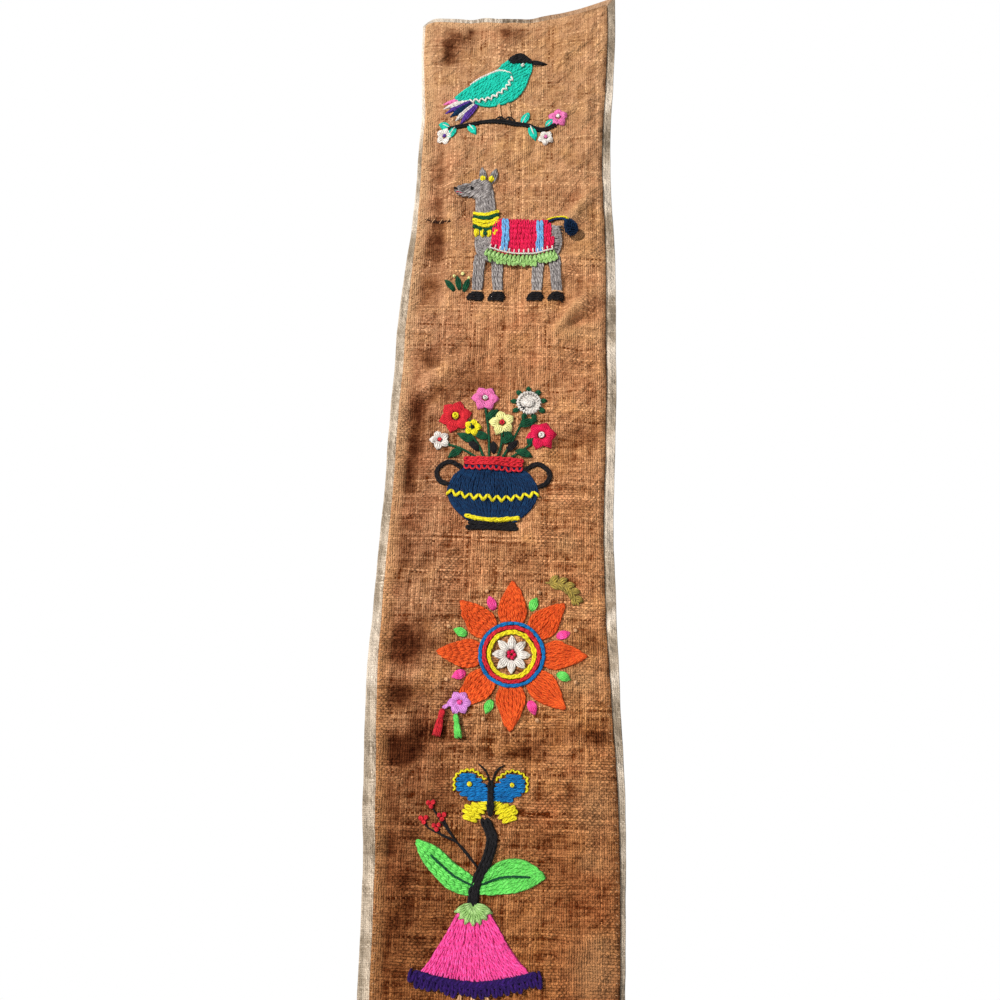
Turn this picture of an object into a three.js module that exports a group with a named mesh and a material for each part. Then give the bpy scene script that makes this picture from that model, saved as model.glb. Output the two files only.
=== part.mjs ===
// Embroidered wall banner.
//
// A long narrow face cloth of brown hand-woven stuff, its edges turned under on all four sides, is sewn on
// a cream backing cloth. The backing's own edges are turned to the front and run in under the face, so that
// a narrow cream border shows all round. Small wool pieces are sewn to the face.
//
// Frame, in millimetres: +X to the viewer's right, +Y towards the wall, +Z up. The origin is the middle of
// the top edge, on the back of the backing. "Height" is the distance from there towards the viewer, so it
// runs along -Y.

import * as THREE from 'three';

const LENGTH = 760;
const FACE_THICKNESS = 1.2;
const BACKING_THICKNESS = 1.0;
const GAP = 0.3; // between neighbouring layers and pieces
const HEM = 13; // from the face's edge to the raw edges hidden beneath it
const TOP_BORDER = 5.5; // backing that shows above the face
const BOTTOM_BORDER = 4; // and below it

// The backing's long edges, and how much of it shows beside the face, by height on the wall.
const OUTLINE = [
  { z: 30, left: -70.4, right: 77.6, leftBorder: 2.4, rightBorder: 6.4 },
  { z: 0, left: -70.4, right: 77.6, leftBorder: 2.4, rightBorder: 6.4 },
  { z: -35, left: -70.0, right: 77.7, leftBorder: 2.2, rightBorder: 6.2 },
  { z: -65, left: -68.6, right: 76.6, leftBorder: 2.4, rightBorder: 6.2 },
  { z: -95, left: -66.8, right: 74.8, leftBorder: 2.8, rightBorder: 6.2 },
  { z: -125, left: -68.0, right: 73.8, leftBorder: 3.2, rightBorder: 6.6 },
  { z: -155, left: -68.6, right: 74.4, leftBorder: 3.4, rightBorder: 6.6 },
  { z: -185, left: -69.4, right: 76.0, leftBorder: 4.2, rightBorder: 6.8 },
  { z: -215, left: -72.2, right: 77.0, leftBorder: 5.2, rightBorder: 7.4 },
  { z: -250, left: -74.8, right: 77.3, leftBorder: 6.0, rightBorder: 7.6 },
  { z: -285, left: -76.2, right: 77.2, leftBorder: 6.4, rightBorder: 7.4 },
  { z: -325, left: -77.2, right: 76.8, leftBorder: 6.2, rightBorder: 7.2 },
  { z: -400, left: -78.2, right: 74.6, leftBorder: 6.0, rightBorder: 6.9 },
  { z: -465, left: -80.4, right: 75.2, leftBorder: 6.2, rightBorder: 7.4 },
  { z: -530, left: -81.2, right: 77.4, leftBorder: 7.4, rightBorder: 6.0 },
  { z: -590, left: -78.6, right: 79.6, leftBorder: 8.0, rightBorder: 4.8 },
  { z: -645, left: -75.6, right: 79.0, leftBorder: 7.4, rightBorder: 3.6 },
  { z: -700, left: -74.6, right: 77.6, leftBorder: 7.4, rightBorder: 3.4 },
  { z: -760, left: -74.0, right: 77.0, leftBorder: 7.6, rightBorder: 3.4 },
  { z: -805, left: -74.0, right: 77.0, leftBorder: 7.6, rightBorder: 3.4 },
];

// Soft troughs (height below 0) and ridges, each along a short line from its start to its end.
const CREASES = [
  { x0: -48, z0: -41, x1: -31, z1: -13, width: 10, height: -4.6 },
  { x0: -60, z0: -41, x1: -58, z1: -17, width: 8, height: 1.4 },
  { x0: -53, z0: -112, x1: -51, z1: -215, width: 6, height: -3.4 },
  { x0: -43, z0: -115, x1: -41, z1: -170, width: 8, height: 2.2 },
  { x0: -31, z0: -159, x1: -26, z1: -177, width: 7, height: -2.4 },
  { x0: -56, z0: -209, x1: -56, z1: -243, width: 8, height: -2.6 },
  { x0: -59, z0: -237, x1: -63, z1: -253, width: 7, height: -2.2 },
  { x0: -58, z0: -313, x1: -59, z1: -327, width: 8, height: -3.0 },
  { x0: -61, z0: -331, x1: -65, z1: -387, width: 8, height: -3.2 },
  { x0: -61, z0: -485, x1: -62, z1: -501, width: 11, height: -4.6 },
  { x0: -62, z0: -524, x1: -63, z1: -533, width: 9, height: -3.4 },
  { x0: -61, z0: -562, x1: -40, z1: -551, width: 10, height: -4.6 },
  { x0: -66, z0: -615, x1: -67, z1: -623, width: 9, height: -2.4 },
  { x0: 56, z0: -25, x1: 57, z1: -36, width: 6, height: -2.0 },
  { x0: 47, z0: -9, x1: 38, z1: -31, width: 8, height: 1.8 },
  { x0: 67, z0: -156, x1: 37, z1: -187, width: 8, height: 2.4 },
  { x0: 37, z0: -187, x1: 32, z1: -209, width: 8, height: 1.4 },
  { x0: 68, z0: -231, x1: 48, z1: -248, width: 8, height: 2.6 },
  { x0: 48, z0: -248, x1: 31, z1: -264, width: 8, height: 1.8 },
  { x0: 60, z0: -257, x1: 53, z1: -269, width: 8, height: -2.6 },
  { x0: -24, z0: -294, x1: -64, z1: -322, width: 8, height: 2.4 },
  { x0: 45, z0: -356, x1: 66, z1: -345, width: 8, height: -2.4 },
  { x0: 59, z0: -479, x1: 68, z1: -490, width: 9, height: -2.8 },
  { x0: 42, z0: -511, x1: 45, z1: -523, width: 15, height: 2.2 },
  { x0: 64, z0: -544, x1: 66, z1: -553, width: 10, height: -2.8 },
  { x0: 26, z0: -561, x1: 36, z1: -552, width: 9, height: -2.2 },
  { x0: -34, z0: -721, x1: -12, z1: -739, width: 12, height: -2.2 },
  { x0: 30, z0: -727, x1: 52, z1: -735, width: 14, height: 2.0 },
];
const MOST_PUCKER = 5; // creases that meet never pass this
const STIFF_CORNER = { from: 20, to: 46 }; // the layered corners neither pucker nor wave
const BACKING_SHARE = 0.45; // of a pucker that the backing follows, inside the hems

// Slow waves that run down each long edge and die away inwards.
const EDGE_WAVES = [
  { edge: 'left', period: 82, start: 3, size: 1.9, reach: 26 },
  { edge: 'left', period: 47, start: 25, size: 0.8, reach: 18 },
  { edge: 'right', period: 118, start: 35, size: 1.3, reach: 30 },
  { edge: 'right', period: 61, start: 0, size: 0.6, reach: 18 },
];

const BOW = { period: 610, start: 65, size: 2.4 }; // the whole cloth's sway off the wall
const CURL = { from: 8, width: 68, depth: 130, lift: 10 }; // the top right corner stands forward
const PEAK = { from: -2, width: 76, depth: 95, rise: 14 }; // and is drawn up
const ROUND = { width: 9, depth: 12, drop: 4 }; // the top left corner is rounded off

// The collision mesh: how many strips the middle is cut into each way.
const MIDDLE_COLUMNS = 12;
const MIDDLE_ROWS = 41;
const COLUMNS = MIDDLE_COLUMNS + 4;
const ROWS = MIDDLE_ROWS + 4;
const MITRE_REACH = 24; // a turned hem's ends are cut back to 45 degrees over this length
const MITRE_GAP = 1;

// Heights of the four layers where both hems lie between face and backing.
const BACKING_HEIGHT = BACKING_THICKNESS / 2;
const BACKING_HEM_HEIGHT = BACKING_HEIGHT + BACKING_THICKNESS + GAP;
const FACE_HEM_HEIGHT = BACKING_HEM_HEIGHT + (BACKING_THICKNESS + FACE_THICKNESS) / 2 + GAP;
const FACE_HEIGHT = FACE_HEM_HEIGHT + FACE_THICKNESS + GAP;
const FRONT = FACE_HEIGHT + FACE_THICKNESS / 2;

const { clamp, lerp, smoothstep } = THREE.MathUtils;

const CLOTH_BROWN = 0xa86d40;
const CLOTH_CREAM = 0xd8cdb8;
const WOOL_NAVY = 0x1f3a5c;
const WOOL_WHITE = 0xe6e2dc;
const WOOL_RED = 0xc4263e;
const WOOL_GREEN = 0x2f7a4f;

// A smooth curve through one column of the outline table.
function outline(key, z) {
  let i = OUTLINE.findIndex((row) => row.z <= z);
  i = clamp(i < 0 ? OUTLINE.length : i, 2, OUTLINE.length - 2);
  const [a, b, c, d] = OUTLINE.slice(i - 2, i + 2);
  const t = clamp((z - b.z) / (c.z - b.z), 0, 1);
  const slopeB = ((c[key] - a[key]) / (c.z - a.z)) * (c.z - b.z);
  const slopeC = ((d[key] - b[key]) / (d.z - b.z)) * (c.z - b.z);
  const rise = c[key] - b[key];
  return b[key] + t * slopeB + t * t * (3 * rise - 2 * slopeB - slopeC)
    + t * t * t * (slopeB + slopeC - 2 * rise);
}

const leftEdge = (z) => outline('left', z);
const rightEdge = (z) => outline('right', z);
const faceLeft = (z) => leftEdge(z) + outline('leftBorder', z);
const faceRight = (z) => rightEdge(z) - outline('rightBorder', z);

// Columns run from the backing's left edge to its right: backing edge, face edge, hem, middle, and back.
function columnX(column, z) {
  if (column === 0) return leftEdge(z);
  if (column === 1) return faceLeft(z);
  if (column === COLUMNS - 1) return faceRight(z);
  if (column === COLUMNS) return rightEdge(z);
  return lerp(faceLeft(z) + HEM, faceRight(z) - HEM, (column - 2) / MIDDLE_COLUMNS);
}

// Rows run down in the same way.
function rowZ(row) {
  if (row === 0) return 0;
  if (row === 1) return -TOP_BORDER;
  if (row === ROWS - 1) return BOTTOM_BORDER - LENGTH;
  if (row === ROWS) return -LENGTH;
  return lerp(-TOP_BORDER - HEM, BOTTOM_BORDER + HEM - LENGTH, (row - 2) / MIDDLE_ROWS);
}

function crease(x, z, { x0, z0, x1, z1, width, height }) {
  const along = ((x - x0) * (x1 - x0) + (z - z0) * (z1 - z0)) / ((x1 - x0) ** 2 + (z1 - z0) ** 2);
  const t = clamp(along, 0, 1);
  const away = Math.hypot(x - lerp(x0, x1, t), z - lerp(z0, z1, t));
  return height * Math.exp(-((away / width) ** 2));
}

function softness(x, z) {
  const fromSides = Math.min(x - faceLeft(z), faceRight(z) - x);
  const fromEnds = Math.min(-z, z + LENGTH);
  return smoothstep(Math.max(fromSides, fromEnds), STIFF_CORNER.from, STIFF_CORNER.to);
}

function pucker(x, z) {
  const total = CREASES.reduce((sum, row) => sum + crease(x, z, row), 0);
  return MOST_PUCKER * Math.tanh(total / MOST_PUCKER) * softness(x, z);
}

function edgeWave(x, z, { edge, period, start, size, reach }) {
  const inwards = edge === 'left' ? x - leftEdge(z) : rightEdge(z) - x;
  const fade = Math.exp(-Math.max(inwards, 0) / reach);
  return size * fade * Math.sin((2 * Math.PI * (start - z)) / period);
}

function sway(x, z) {
  const waves = EDGE_WAVES.reduce((sum, row) => sum + edgeWave(x, z, row), 0) * softness(x, z);
  const bow = BOW.size * Math.sin((2 * Math.PI * (BOW.start - z)) / BOW.period);
  const across = Math.max((x - CURL.from) / CURL.width, 0);
  const up = Math.max(1 + z / CURL.depth, 0);
  return waves + bow + CURL.lift * (across * up) ** 1.4;
}

// How much of a pucker the backing follows: all of it where the hems lie, less in the middle.
function backingShare(x, z) {
  const fromSides = Math.min(x - faceLeft(z), faceRight(z) - x);
  const fromEnds = Math.min(-TOP_BORDER - z, z + LENGTH - BOTTOM_BORDER);
  const inside = Math.min(fromSides, fromEnds) - HEM;
  return lerp(1, BACKING_SHARE, smoothstep(inside, 0, 20));
}

// The origin lies on the back of the cloth, so the sway is measured from there.
const SWAY_AT_ORIGIN = sway(0, 0) + pucker(0, 0);

function drape(x, z, share) {
  return sway(x, z) + share * pucker(x, z) - SWAY_AT_ORIGIN;
}

function rise(x, z) {
  const up = clamp((x - PEAK.from) / PEAK.width, 0, 1.05) ** 1.6 * Math.exp(z / PEAK.depth);
  const corner = clamp((faceLeft(0) + ROUND.width - x) / ROUND.width, 0, 1.4) ** 2;
  return PEAK.rise * up - ROUND.drop * corner * Math.exp(z / ROUND.depth);
}

// A cloth with its four edges turned. It is laid out flat-on first, as points with a height and a normal of
// the cloth's right side, then given its thickness, and then draped.
// first: the column and row of its edge. hem: columns and rows under which its turned edge runs.
function turnedCloth({ first, hem, thickness, height, hemHeight, isFace }) {
  const facing = Math.sign(height - hemHeight);
  const bend = Math.abs(height - hemHeight) / 2;
  const lastColumn = COLUMNS - first;
  const lastRow = ROWS - first;
  const points = [];
  const triangles = [];

  const addPoint = (x, z, pointHeight, normal) => points.push({ x, z, height: pointHeight, normal }) - 1;

  // Corners run anticlockwise in the flat pattern, seen by the viewer.
  function addCell(corners, diagonal) {
    const [a, b, c, d] = corners;
    const pair = diagonal === 'rising' ? [[a, b, c], [a, c, d]] : [[a, b, d], [b, c, d]];
    pair.forEach((triangle) => triangles.push(facing > 0 ? triangle : triangle.reverse()));
  }

  const main = [];
  for (let row = first; row <= lastRow; row += 1) {
    const z = rowZ(row);
    const line = [];
    for (let column = first; column <= lastColumn; column += 1) {
      line.push(addPoint(columnX(column, z), z, height, [0, facing, 0]));
    }
    main.push(line);
  }
  for (let j = 0; j < main.length - 1; j += 1) {
    for (let k = 0; k < main[0].length - 1; k += 1) {
      addCell([main[j + 1][k], main[j + 1][k + 1], main[j][k + 1], main[j][k]], 'rising');
    }
  }

  const mitre = (depth, distance) => (depth + MITRE_GAP) * Math.max(0, 1 - distance / MITRE_REACH);

  // Lines of points from an edge round the bend and in under the cloth: the bend's middle, its end, then
  // each hem column or row.
  function turnedLines(edge, pointAt) {
    const lines = [edge];
    lines.push(edge.map((_, i) => pointAt(i, 0, bend, (height + hemHeight) / 2, 'bend')));
    for (let step = 0; step <= hem; step += 1) {
      lines.push(edge.map((_, i) => pointAt(i, step, 0, hemHeight, 'hem')));
    }
    return lines;
  }

  function addSide(edge, side) {
    const edgeColumn = side < 0 ? first : lastColumn;
    const lines = turnedLines(edge, (i, step, out, pointHeight, kind) => {
      const z = rowZ(first + i);
      const depth = Math.abs(columnX(edgeColumn - side * step, z) - columnX(edgeColumn, z));
      const shift = mitre(depth, rowZ(first) - z) - mitre(depth, z - rowZ(lastRow));
      const cutZ = z - (kind === 'bend' ? shift / 2 : shift);
      const x = columnX(edgeColumn - side * step, cutZ) + side * out;
      return addPoint(x, cutZ, pointHeight, kind === 'bend' ? [side, 0, 0] : [0, -facing, 0]);
    });
    for (let m = 0; m < lines.length - 1; m += 1) {
      for (let i = 0; i < edge.length - 1; i += 1) {
        const [left, right] = side < 0 ? [lines[m + 1], lines[m]] : [lines[m], lines[m + 1]];
        addCell([left[i + 1], right[i + 1], right[i], left[i]], 'falling');
      }
    }
  }

  function addEnd(edge, side) {
    const edgeRow = side > 0 ? first : lastRow;
    const lines = turnedLines(edge, (i, step, out, pointHeight, kind) => {
      const z = rowZ(edgeRow + side * step);
      const depth = Math.abs(z - rowZ(edgeRow));
      const x = columnX(first + i, z);
      const shift = mitre(depth, x - columnX(first, z)) - mitre(depth, columnX(lastColumn, z) - x);
      const cutX = x + (kind === 'bend' ? shift / 2 : shift);
      return addPoint(cutX, z + side * out, pointHeight, kind === 'bend' ? [0, 0, side] : [0, -facing, 0]);
    });
    for (let m = 0; m < lines.length - 1; m += 1) {
      for (let i = 0; i < edge.length - 1; i += 1) {
        const [lower, upper] = side > 0 ? [lines[m], lines[m + 1]] : [lines[m + 1], lines[m]];
        addCell([lower[i], lower[i + 1], upper[i + 1], upper[i]], 'falling');
      }
    }
  }

  addSide(main.map((line) => line[0]), -1);
  addSide(main.map((line) => line[line.length - 1]), 1);
  addEnd(main[0], 1);
  addEnd(main[main.length - 1], -1);

  return thickened(points, triangles, thickness, isFace);
}

// Gives a sheet its two surfaces and its cut edges, and drapes them.
function thickened(points, triangles, thickness, isFace) {
  const positions = [];
  [1, -1].forEach((surface) => points.forEach(({ x, z, height, normal: [nx, nh, nz] }) => {
    const half = (surface * thickness) / 2;
    const px = x + nx * half;
    const pz = z + nz * half;
    const share = isFace ? 1 : backingShare(px, pz);
    positions.push(px, -(height + nh * half + drape(px, pz, share)), pz + rise(px, pz));
  }));

  const other = points.length;
  const index = [];
  const directed = new Set();
  triangles.forEach(([a, b, c]) => {
    index.push(a, b, c, other + c, other + b, other + a);
    [[a, b], [b, c], [c, a]].forEach(([from, to]) => directed.add(`${from}>${to}`));
  });
  directed.forEach((edge) => {
    const [from, to] = edge.split('>').map(Number);
    if (!directed.has(`${to}>${from}`)) {
      index.push(to, from, other + from, to, other + from, other + to);
    }
  });

  const geometry = new THREE.BufferGeometry();
  geometry.setAttribute('position', new THREE.Float32BufferAttribute(positions, 3));
  geometry.setIndex(index);
  geometry.computeVertexNormals();
  return geometry;
}

// How far the face's flat facets carry it from its height at the origin, at any place.
function facetHeight(x, z) {
  let row = 1;
  while (rowZ(row + 1) > z) row += 1;
  let column = 1;
  while (columnX(column + 1, z) < x) column += 1;
  const at = (k, j) => drape(columnX(k, rowZ(j)), rowZ(j), 1);
  const lowerLeft = at(column, row + 1);
  const lowerRight = at(column + 1, row + 1);
  const upperRight = at(column + 1, row);
  const upperLeft = at(column, row);
  const s = (x - columnX(column, z)) / (columnX(column + 1, z) - columnX(column, z));
  const t = (z - rowZ(row + 1)) / (rowZ(row) - rowZ(row + 1));
  return s > t
    ? lowerLeft + s * (lowerRight - lowerLeft) + t * (upperRight - lowerRight)
    : lowerLeft + t * (upperLeft - lowerLeft) + s * (upperRight - upperLeft);
}

// The height at which a piece clears the face at each of its places: [x, z, how far it reaches down].
function seatHeight(places) {
  return FRONT + GAP + Math.max(...places.map(([x, z, reach]) => facetHeight(x, z) + reach));
}

function wool(color) {
  return new THREE.MeshStandardMaterial({ color, roughness: 0.95, metalness: 0 });
}

function named(name, geometry, material) {
  const mesh = new THREE.Mesh(geometry, material);
  mesh.name = name;
  return mesh;
}

const POMPOM = { x: 45, z: -193, radius: 5.5 };

function pompom() {
  const ball = named('pompom_navy', new THREE.SphereGeometry(POMPOM.radius, 14, 10), wool(WOOL_NAVY));
  ball.position.set(POMPOM.x, -seatHeight([[POMPOM.x, POMPOM.z, POMPOM.radius]]), POMPOM.z);
  return ball;
}

const ROSETTE = { x: 17, z: -327, radius: 8.5, rim: 2.2, dip: 1.5, domeRadius: 3.6, dome: 4.2 };

// A flat round with a raised rim and a domed middle, its flat side to the cloth.
function rosette() {
  const { radius, rim, dip, domeRadius, dome } = ROSETTE;
  const profile = [[0, 0], [radius - 0.6, 0], [radius, 0.8], [radius - 1, rim], [domeRadius + 0.6, dip]];
  for (let step = 0; step <= 3; step += 1) {
    const angle = (step / 3) * (Math.PI / 2);
    profile.push([domeRadius * Math.cos(angle), lerp(dip + 0.4, dome, Math.sin(angle))]);
  }
  profile[profile.length - 1][0] = 0;
  const geometry = new THREE.LatheGeometry(profile.map(([r, y]) => new THREE.Vector2(r, y)), 18);
  const disc = named('rosette_white', geometry, wool(WOOL_WHITE));
  disc.rotation.x = Math.PI;
  const rimPlaces = [0, 1, 2, 3, 4, 5, 6, 7].map((eighth) => {
    const angle = (eighth * Math.PI) / 4;
    return [ROSETTE.x + radius * Math.cos(angle), ROSETTE.z + radius * Math.sin(angle), 0];
  });
  disc.position.set(ROSETTE.x, -seatHeight([[ROSETTE.x, ROSETTE.z, 0], ...rimPlaces]), ROSETTE.z);
  return disc;
}

// Tied wool that hangs from its head; z is the top of the head and lean turns it about the viewer's line.
const TASSELS = [
  { name: 'tassel_red', x: -33, z: -535, length: 17, lean: 13, color: WOOL_RED },
  { name: 'tassel_green', x: -25, z: -538, length: 15, lean: -9, color: WOOL_GREEN },
];
const TASSEL_PROFILE = [
  { down: 0.0, radius: 0.0 },
  { down: 0.03, radius: 1.3 },
  { down: 0.14, radius: 2.2 },
  { down: 0.25, radius: 1.3 },
  { down: 0.45, radius: 2.3 },
  { down: 0.85, radius: 2.9 },
  { down: 1.0, radius: 2.6 },
  { down: 1.0, radius: 0.0 },
];

function tassel({ name, x, z, length, lean, color }) {
  const profile = TASSEL_PROFILE.map(({ down, radius }) => new THREE.Vector2(radius, -down * length));
  const geometry = new THREE.LatheGeometry(profile.reverse(), 10);
  const mesh = named(name, geometry, wool(color));
  mesh.rotation.x = Math.PI / 2;
  const turn = THREE.MathUtils.degToRad(lean);
  const places = TASSEL_PROFILE.map(({ down, radius }) => {
    const along = down * length;
    return [x - along * Math.sin(turn), z - along * Math.cos(turn), radius];
  });
  const hanging = new THREE.Group();
  hanging.rotation.y = turn;
  hanging.position.set(x, -seatHeight(places), z);
  hanging.add(mesh);
  return hanging;
}

const banner = new THREE.Group();

banner.add(named('face_panel', turnedCloth({
  first: 1,
  hem: 1,
  thickness: FACE_THICKNESS,
  height: FACE_HEIGHT,
  hemHeight: FACE_HEM_HEIGHT,
  isFace: true,
}), new THREE.MeshStandardMaterial({ color: CLOTH_BROWN, roughness: 0.92, metalness: 0 })));

banner.add(named('backing_panel', turnedCloth({
  first: 0,
  hem: 2,
  thickness: BACKING_THICKNESS,
  height: BACKING_HEIGHT,
  hemHeight: BACKING_HEM_HEIGHT,
  isFace: false,
}), new THREE.MeshStandardMaterial({ color: CLOTH_CREAM, roughness: 0.9, metalness: 0 })));

banner.add(pompom(), rosette(), ...TASSELS.map(tassel));

export default banner;
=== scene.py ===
"""The looks of the embroidered wall banner: cloth, hems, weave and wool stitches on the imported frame.

Lengths in the tables and functions are millimetres; to_mesh() turns them into metres. x runs to the
viewer's right and z up. "Height" is the distance from the back of the banner towards the viewer, along -Y.
"""

import math
from collections import namedtuple

import bpy
import numpy as np
from mathutils import Matrix, Vector

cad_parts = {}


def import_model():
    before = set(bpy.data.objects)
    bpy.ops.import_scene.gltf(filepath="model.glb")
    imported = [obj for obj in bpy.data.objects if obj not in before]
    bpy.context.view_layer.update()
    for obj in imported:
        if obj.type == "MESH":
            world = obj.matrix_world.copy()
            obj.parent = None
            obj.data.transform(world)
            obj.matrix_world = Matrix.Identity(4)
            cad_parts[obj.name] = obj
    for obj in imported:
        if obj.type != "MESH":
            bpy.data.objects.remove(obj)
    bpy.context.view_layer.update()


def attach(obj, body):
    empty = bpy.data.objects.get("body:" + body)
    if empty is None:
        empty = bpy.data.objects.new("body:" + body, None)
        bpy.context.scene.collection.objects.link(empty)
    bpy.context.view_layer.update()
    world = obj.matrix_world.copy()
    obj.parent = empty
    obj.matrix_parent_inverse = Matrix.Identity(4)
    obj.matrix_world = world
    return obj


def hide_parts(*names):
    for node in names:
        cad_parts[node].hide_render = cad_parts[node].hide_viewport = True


MM = 0.001

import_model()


def table(columns, rows):
    """Rows of numbers as records whose fields have the columns' names."""
    record = namedtuple("Row", columns)
    return [record(*row) for row in rows]


# ---------------------------------------------------------------------------------------------------------
# The hanging cloth: its outline, its folds and its layers, as the CAD solids have them
# ---------------------------------------------------------------------------------------------------------

WIDTH = 150
LENGTH = 760
FACE_THICKNESS = 1.2
BACKING_THICKNESS = 1.0
GAP = 0.3
HEM = 13
TOP_BORDER = 5.5
BOTTOM_BORDER = 4
FACE_TOP = -TOP_BORDER
FACE_BOTTOM = BOTTOM_BORDER - LENGTH

OUTLINE = table("z left right left_border right_border", [
    (-805, -74.0, 77.0, 7.6, 3.4), (-760, -74.0, 77.0, 7.6, 3.4), (-700, -74.6, 77.6, 7.4, 3.4),
    (-645, -75.6, 79.0, 7.4, 3.6), (-590, -78.6, 79.6, 8.0, 4.8), (-530, -81.2, 77.4, 7.4, 6.0),
    (-465, -80.4, 75.2, 6.2, 7.4), (-400, -78.2, 74.6, 6.0, 6.9), (-325, -77.2, 76.8, 6.2, 7.2),
    (-285, -76.2, 77.2, 6.4, 7.4), (-250, -74.8, 77.3, 6.0, 7.6), (-215, -72.2, 77.0, 5.2, 7.4),
    (-185, -69.4, 76.0, 4.2, 6.8), (-155, -68.6, 74.4, 3.4, 6.6), (-125, -68.0, 73.8, 3.2, 6.6),
    (-95, -66.8, 74.8, 2.8, 6.2), (-65, -68.6, 76.6, 2.4, 6.2), (-35, -70.0, 77.7, 2.2, 6.2),
    (0, -70.4, 77.6, 2.4, 6.4), (30, -70.4, 77.6, 2.4, 6.4),
])

# Soft troughs (height below 0) and ridges that the CAD solids have too.
CREASE = "x0 z0 x1 z1 width height"
CREASES = table(CREASE, [
    (-48, -41, -31, -13, 10, -4.6), (-60, -41, -58, -17, 8, 1.4), (-53, -112, -51, -215, 6, -3.4),
    (-43, -115, -41, -170, 8, 2.2), (-31, -159, -26, -177, 7, -2.4), (-56, -209, -56, -243, 8, -2.6),
    (-59, -237, -63, -253, 7, -2.2), (-58, -313, -59, -327, 8, -3.0), (-61, -331, -65, -387, 8, -3.2),
    (-61, -485, -62, -501, 11, -4.6), (-62, -524, -63, -533, 9, -3.4), (-61, -562, -40, -551, 10, -4.6),
    (-66, -615, -67, -623, 9, -2.4), (56, -25, 57, -36, 6, -2.0), (47, -9, 38, -31, 8, 1.8),
    (67, -156, 37, -187, 8, 2.4), (37, -187, 32, -209, 8, 1.4), (68, -231, 48, -248, 8, 2.6),
    (48, -248, 31, -264, 8, 1.8), (60, -257, 53, -269, 8, -2.6), (-24, -294, -64, -322, 8, 2.4),
    (45, -356, 66, -345, 8, -2.4), (59, -479, 68, -490, 9, -2.8), (42, -511, 45, -523, 15, 2.2),
    (64, -544, 66, -553, 10, -2.8), (26, -561, 36, -552, 9, -2.2), (-34, -721, -12, -739, 12, -2.2),
    (30, -727, 52, -735, 14, 2.0),
])
MOST_PUCKER = 5
BACKING_SHARE = 0.45
BACKING_FADE = 20
STIFF_CORNER = (20, 46)

EDGE_WAVES = table("edge period start size reach", [
    ("left", 82, 3, 1.9, 26),
    ("left", 47, 25, 0.8, 18),
    ("right", 118, 35, 1.3, 30),
    ("right", 61, 0, 0.6, 18),
])
BOW = {"period": 610, "start": 65, "size": 2.4}
CURL = {"start": 8, "width": 68, "depth": 130, "lift": 10, "power": 1.4}
PEAK = {"start": -2, "width": 76, "depth": 95, "rise": 14, "power": 1.6}
ROUND = {"width": 9, "depth": 12, "drop": 4}
MITRE_REACH = 24
MITRE_GAP = 0.15
PRESSED = {"share": 0.42, "from": 1, "to": 13}

BACKING_HEIGHT = BACKING_THICKNESS / 2
BACKING_HEM_HEIGHT = BACKING_HEIGHT + BACKING_THICKNESS + GAP
FACE_HEM_HEIGHT = BACKING_HEM_HEIGHT + (BACKING_THICKNESS + FACE_THICKNESS) / 2 + GAP
FACE_HEIGHT = FACE_HEM_HEIGHT + FACE_THICKNESS + GAP
FRONT = FACE_HEIGHT + FACE_THICKNESS / 2


def smoothstep(x, start, end):
    t = np.clip((x - start) / (end - start), 0, 1)
    return t * t * (3 - 2 * t)


def outline(column, z):
    """A smooth curve through one column of the outline table."""
    knots = np.array([row.z for row in OUTLINE], float)
    values = np.array([getattr(row, column) for row in OUTLINE], float)
    i = np.clip(np.searchsorted(knots, z, side="right") - 1, 1, len(knots) - 3)
    ka, kb, kc, kd = (knots[i + n] for n in (-1, 0, 1, 2))
    va, vb, vc, vd = (values[i + n] for n in (-1, 0, 1, 2))
    t = np.clip((z - kb) / (kc - kb), 0, 1)
    slope_b = (vc - va) / (kc - ka) * (kc - kb)
    slope_c = (vd - vb) / (kd - kb) * (kc - kb)
    step = vc - vb
    square = t * t * (3 * step - 2 * slope_b - slope_c)
    return vb + t * slope_b + square + t**3 * (slope_b + slope_c - 2 * step)


def face_left(z):
    return outline("left", z) + outline("left_border", z)


def face_right(z):
    return outline("right", z) - outline("right_border", z)


def from_sides(x, z):
    """How far a place is inside the nearer of the face's side edges."""
    return np.minimum(x - face_left(z), face_right(z) - x)


def inside_face(x, z):
    """How far a place is inside the nearest of the face's four edges."""
    return np.minimum(from_sides(x, z), np.minimum(FACE_TOP - z, z - FACE_BOTTOM))


def creases_at(x, z, creases):
    total = np.zeros(np.broadcast(x, z).shape)
    for c in creases:
        dx, dz = c.x1 - c.x0, c.z1 - c.z0
        t = np.clip(((x - c.x0) * dx + (z - c.z0) * dz) / (dx * dx + dz * dz), 0, 1)
        away = np.hypot(x - c.x0 - t * dx, z - c.z0 - t * dz)
        total = total + c.height * np.exp(-((away / c.width) ** 2))
    return total


def softness(x, z):
    """0 near the stiff corners and 1 away from them."""
    from_ends = np.minimum(-z, z + LENGTH)
    return smoothstep(np.maximum(from_sides(x, z), from_ends), *STIFF_CORNER)


def pucker(x, z):
    total = creases_at(x, z, CREASES)
    return MOST_PUCKER * np.tanh(total / MOST_PUCKER) * softness(x, z)


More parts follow.
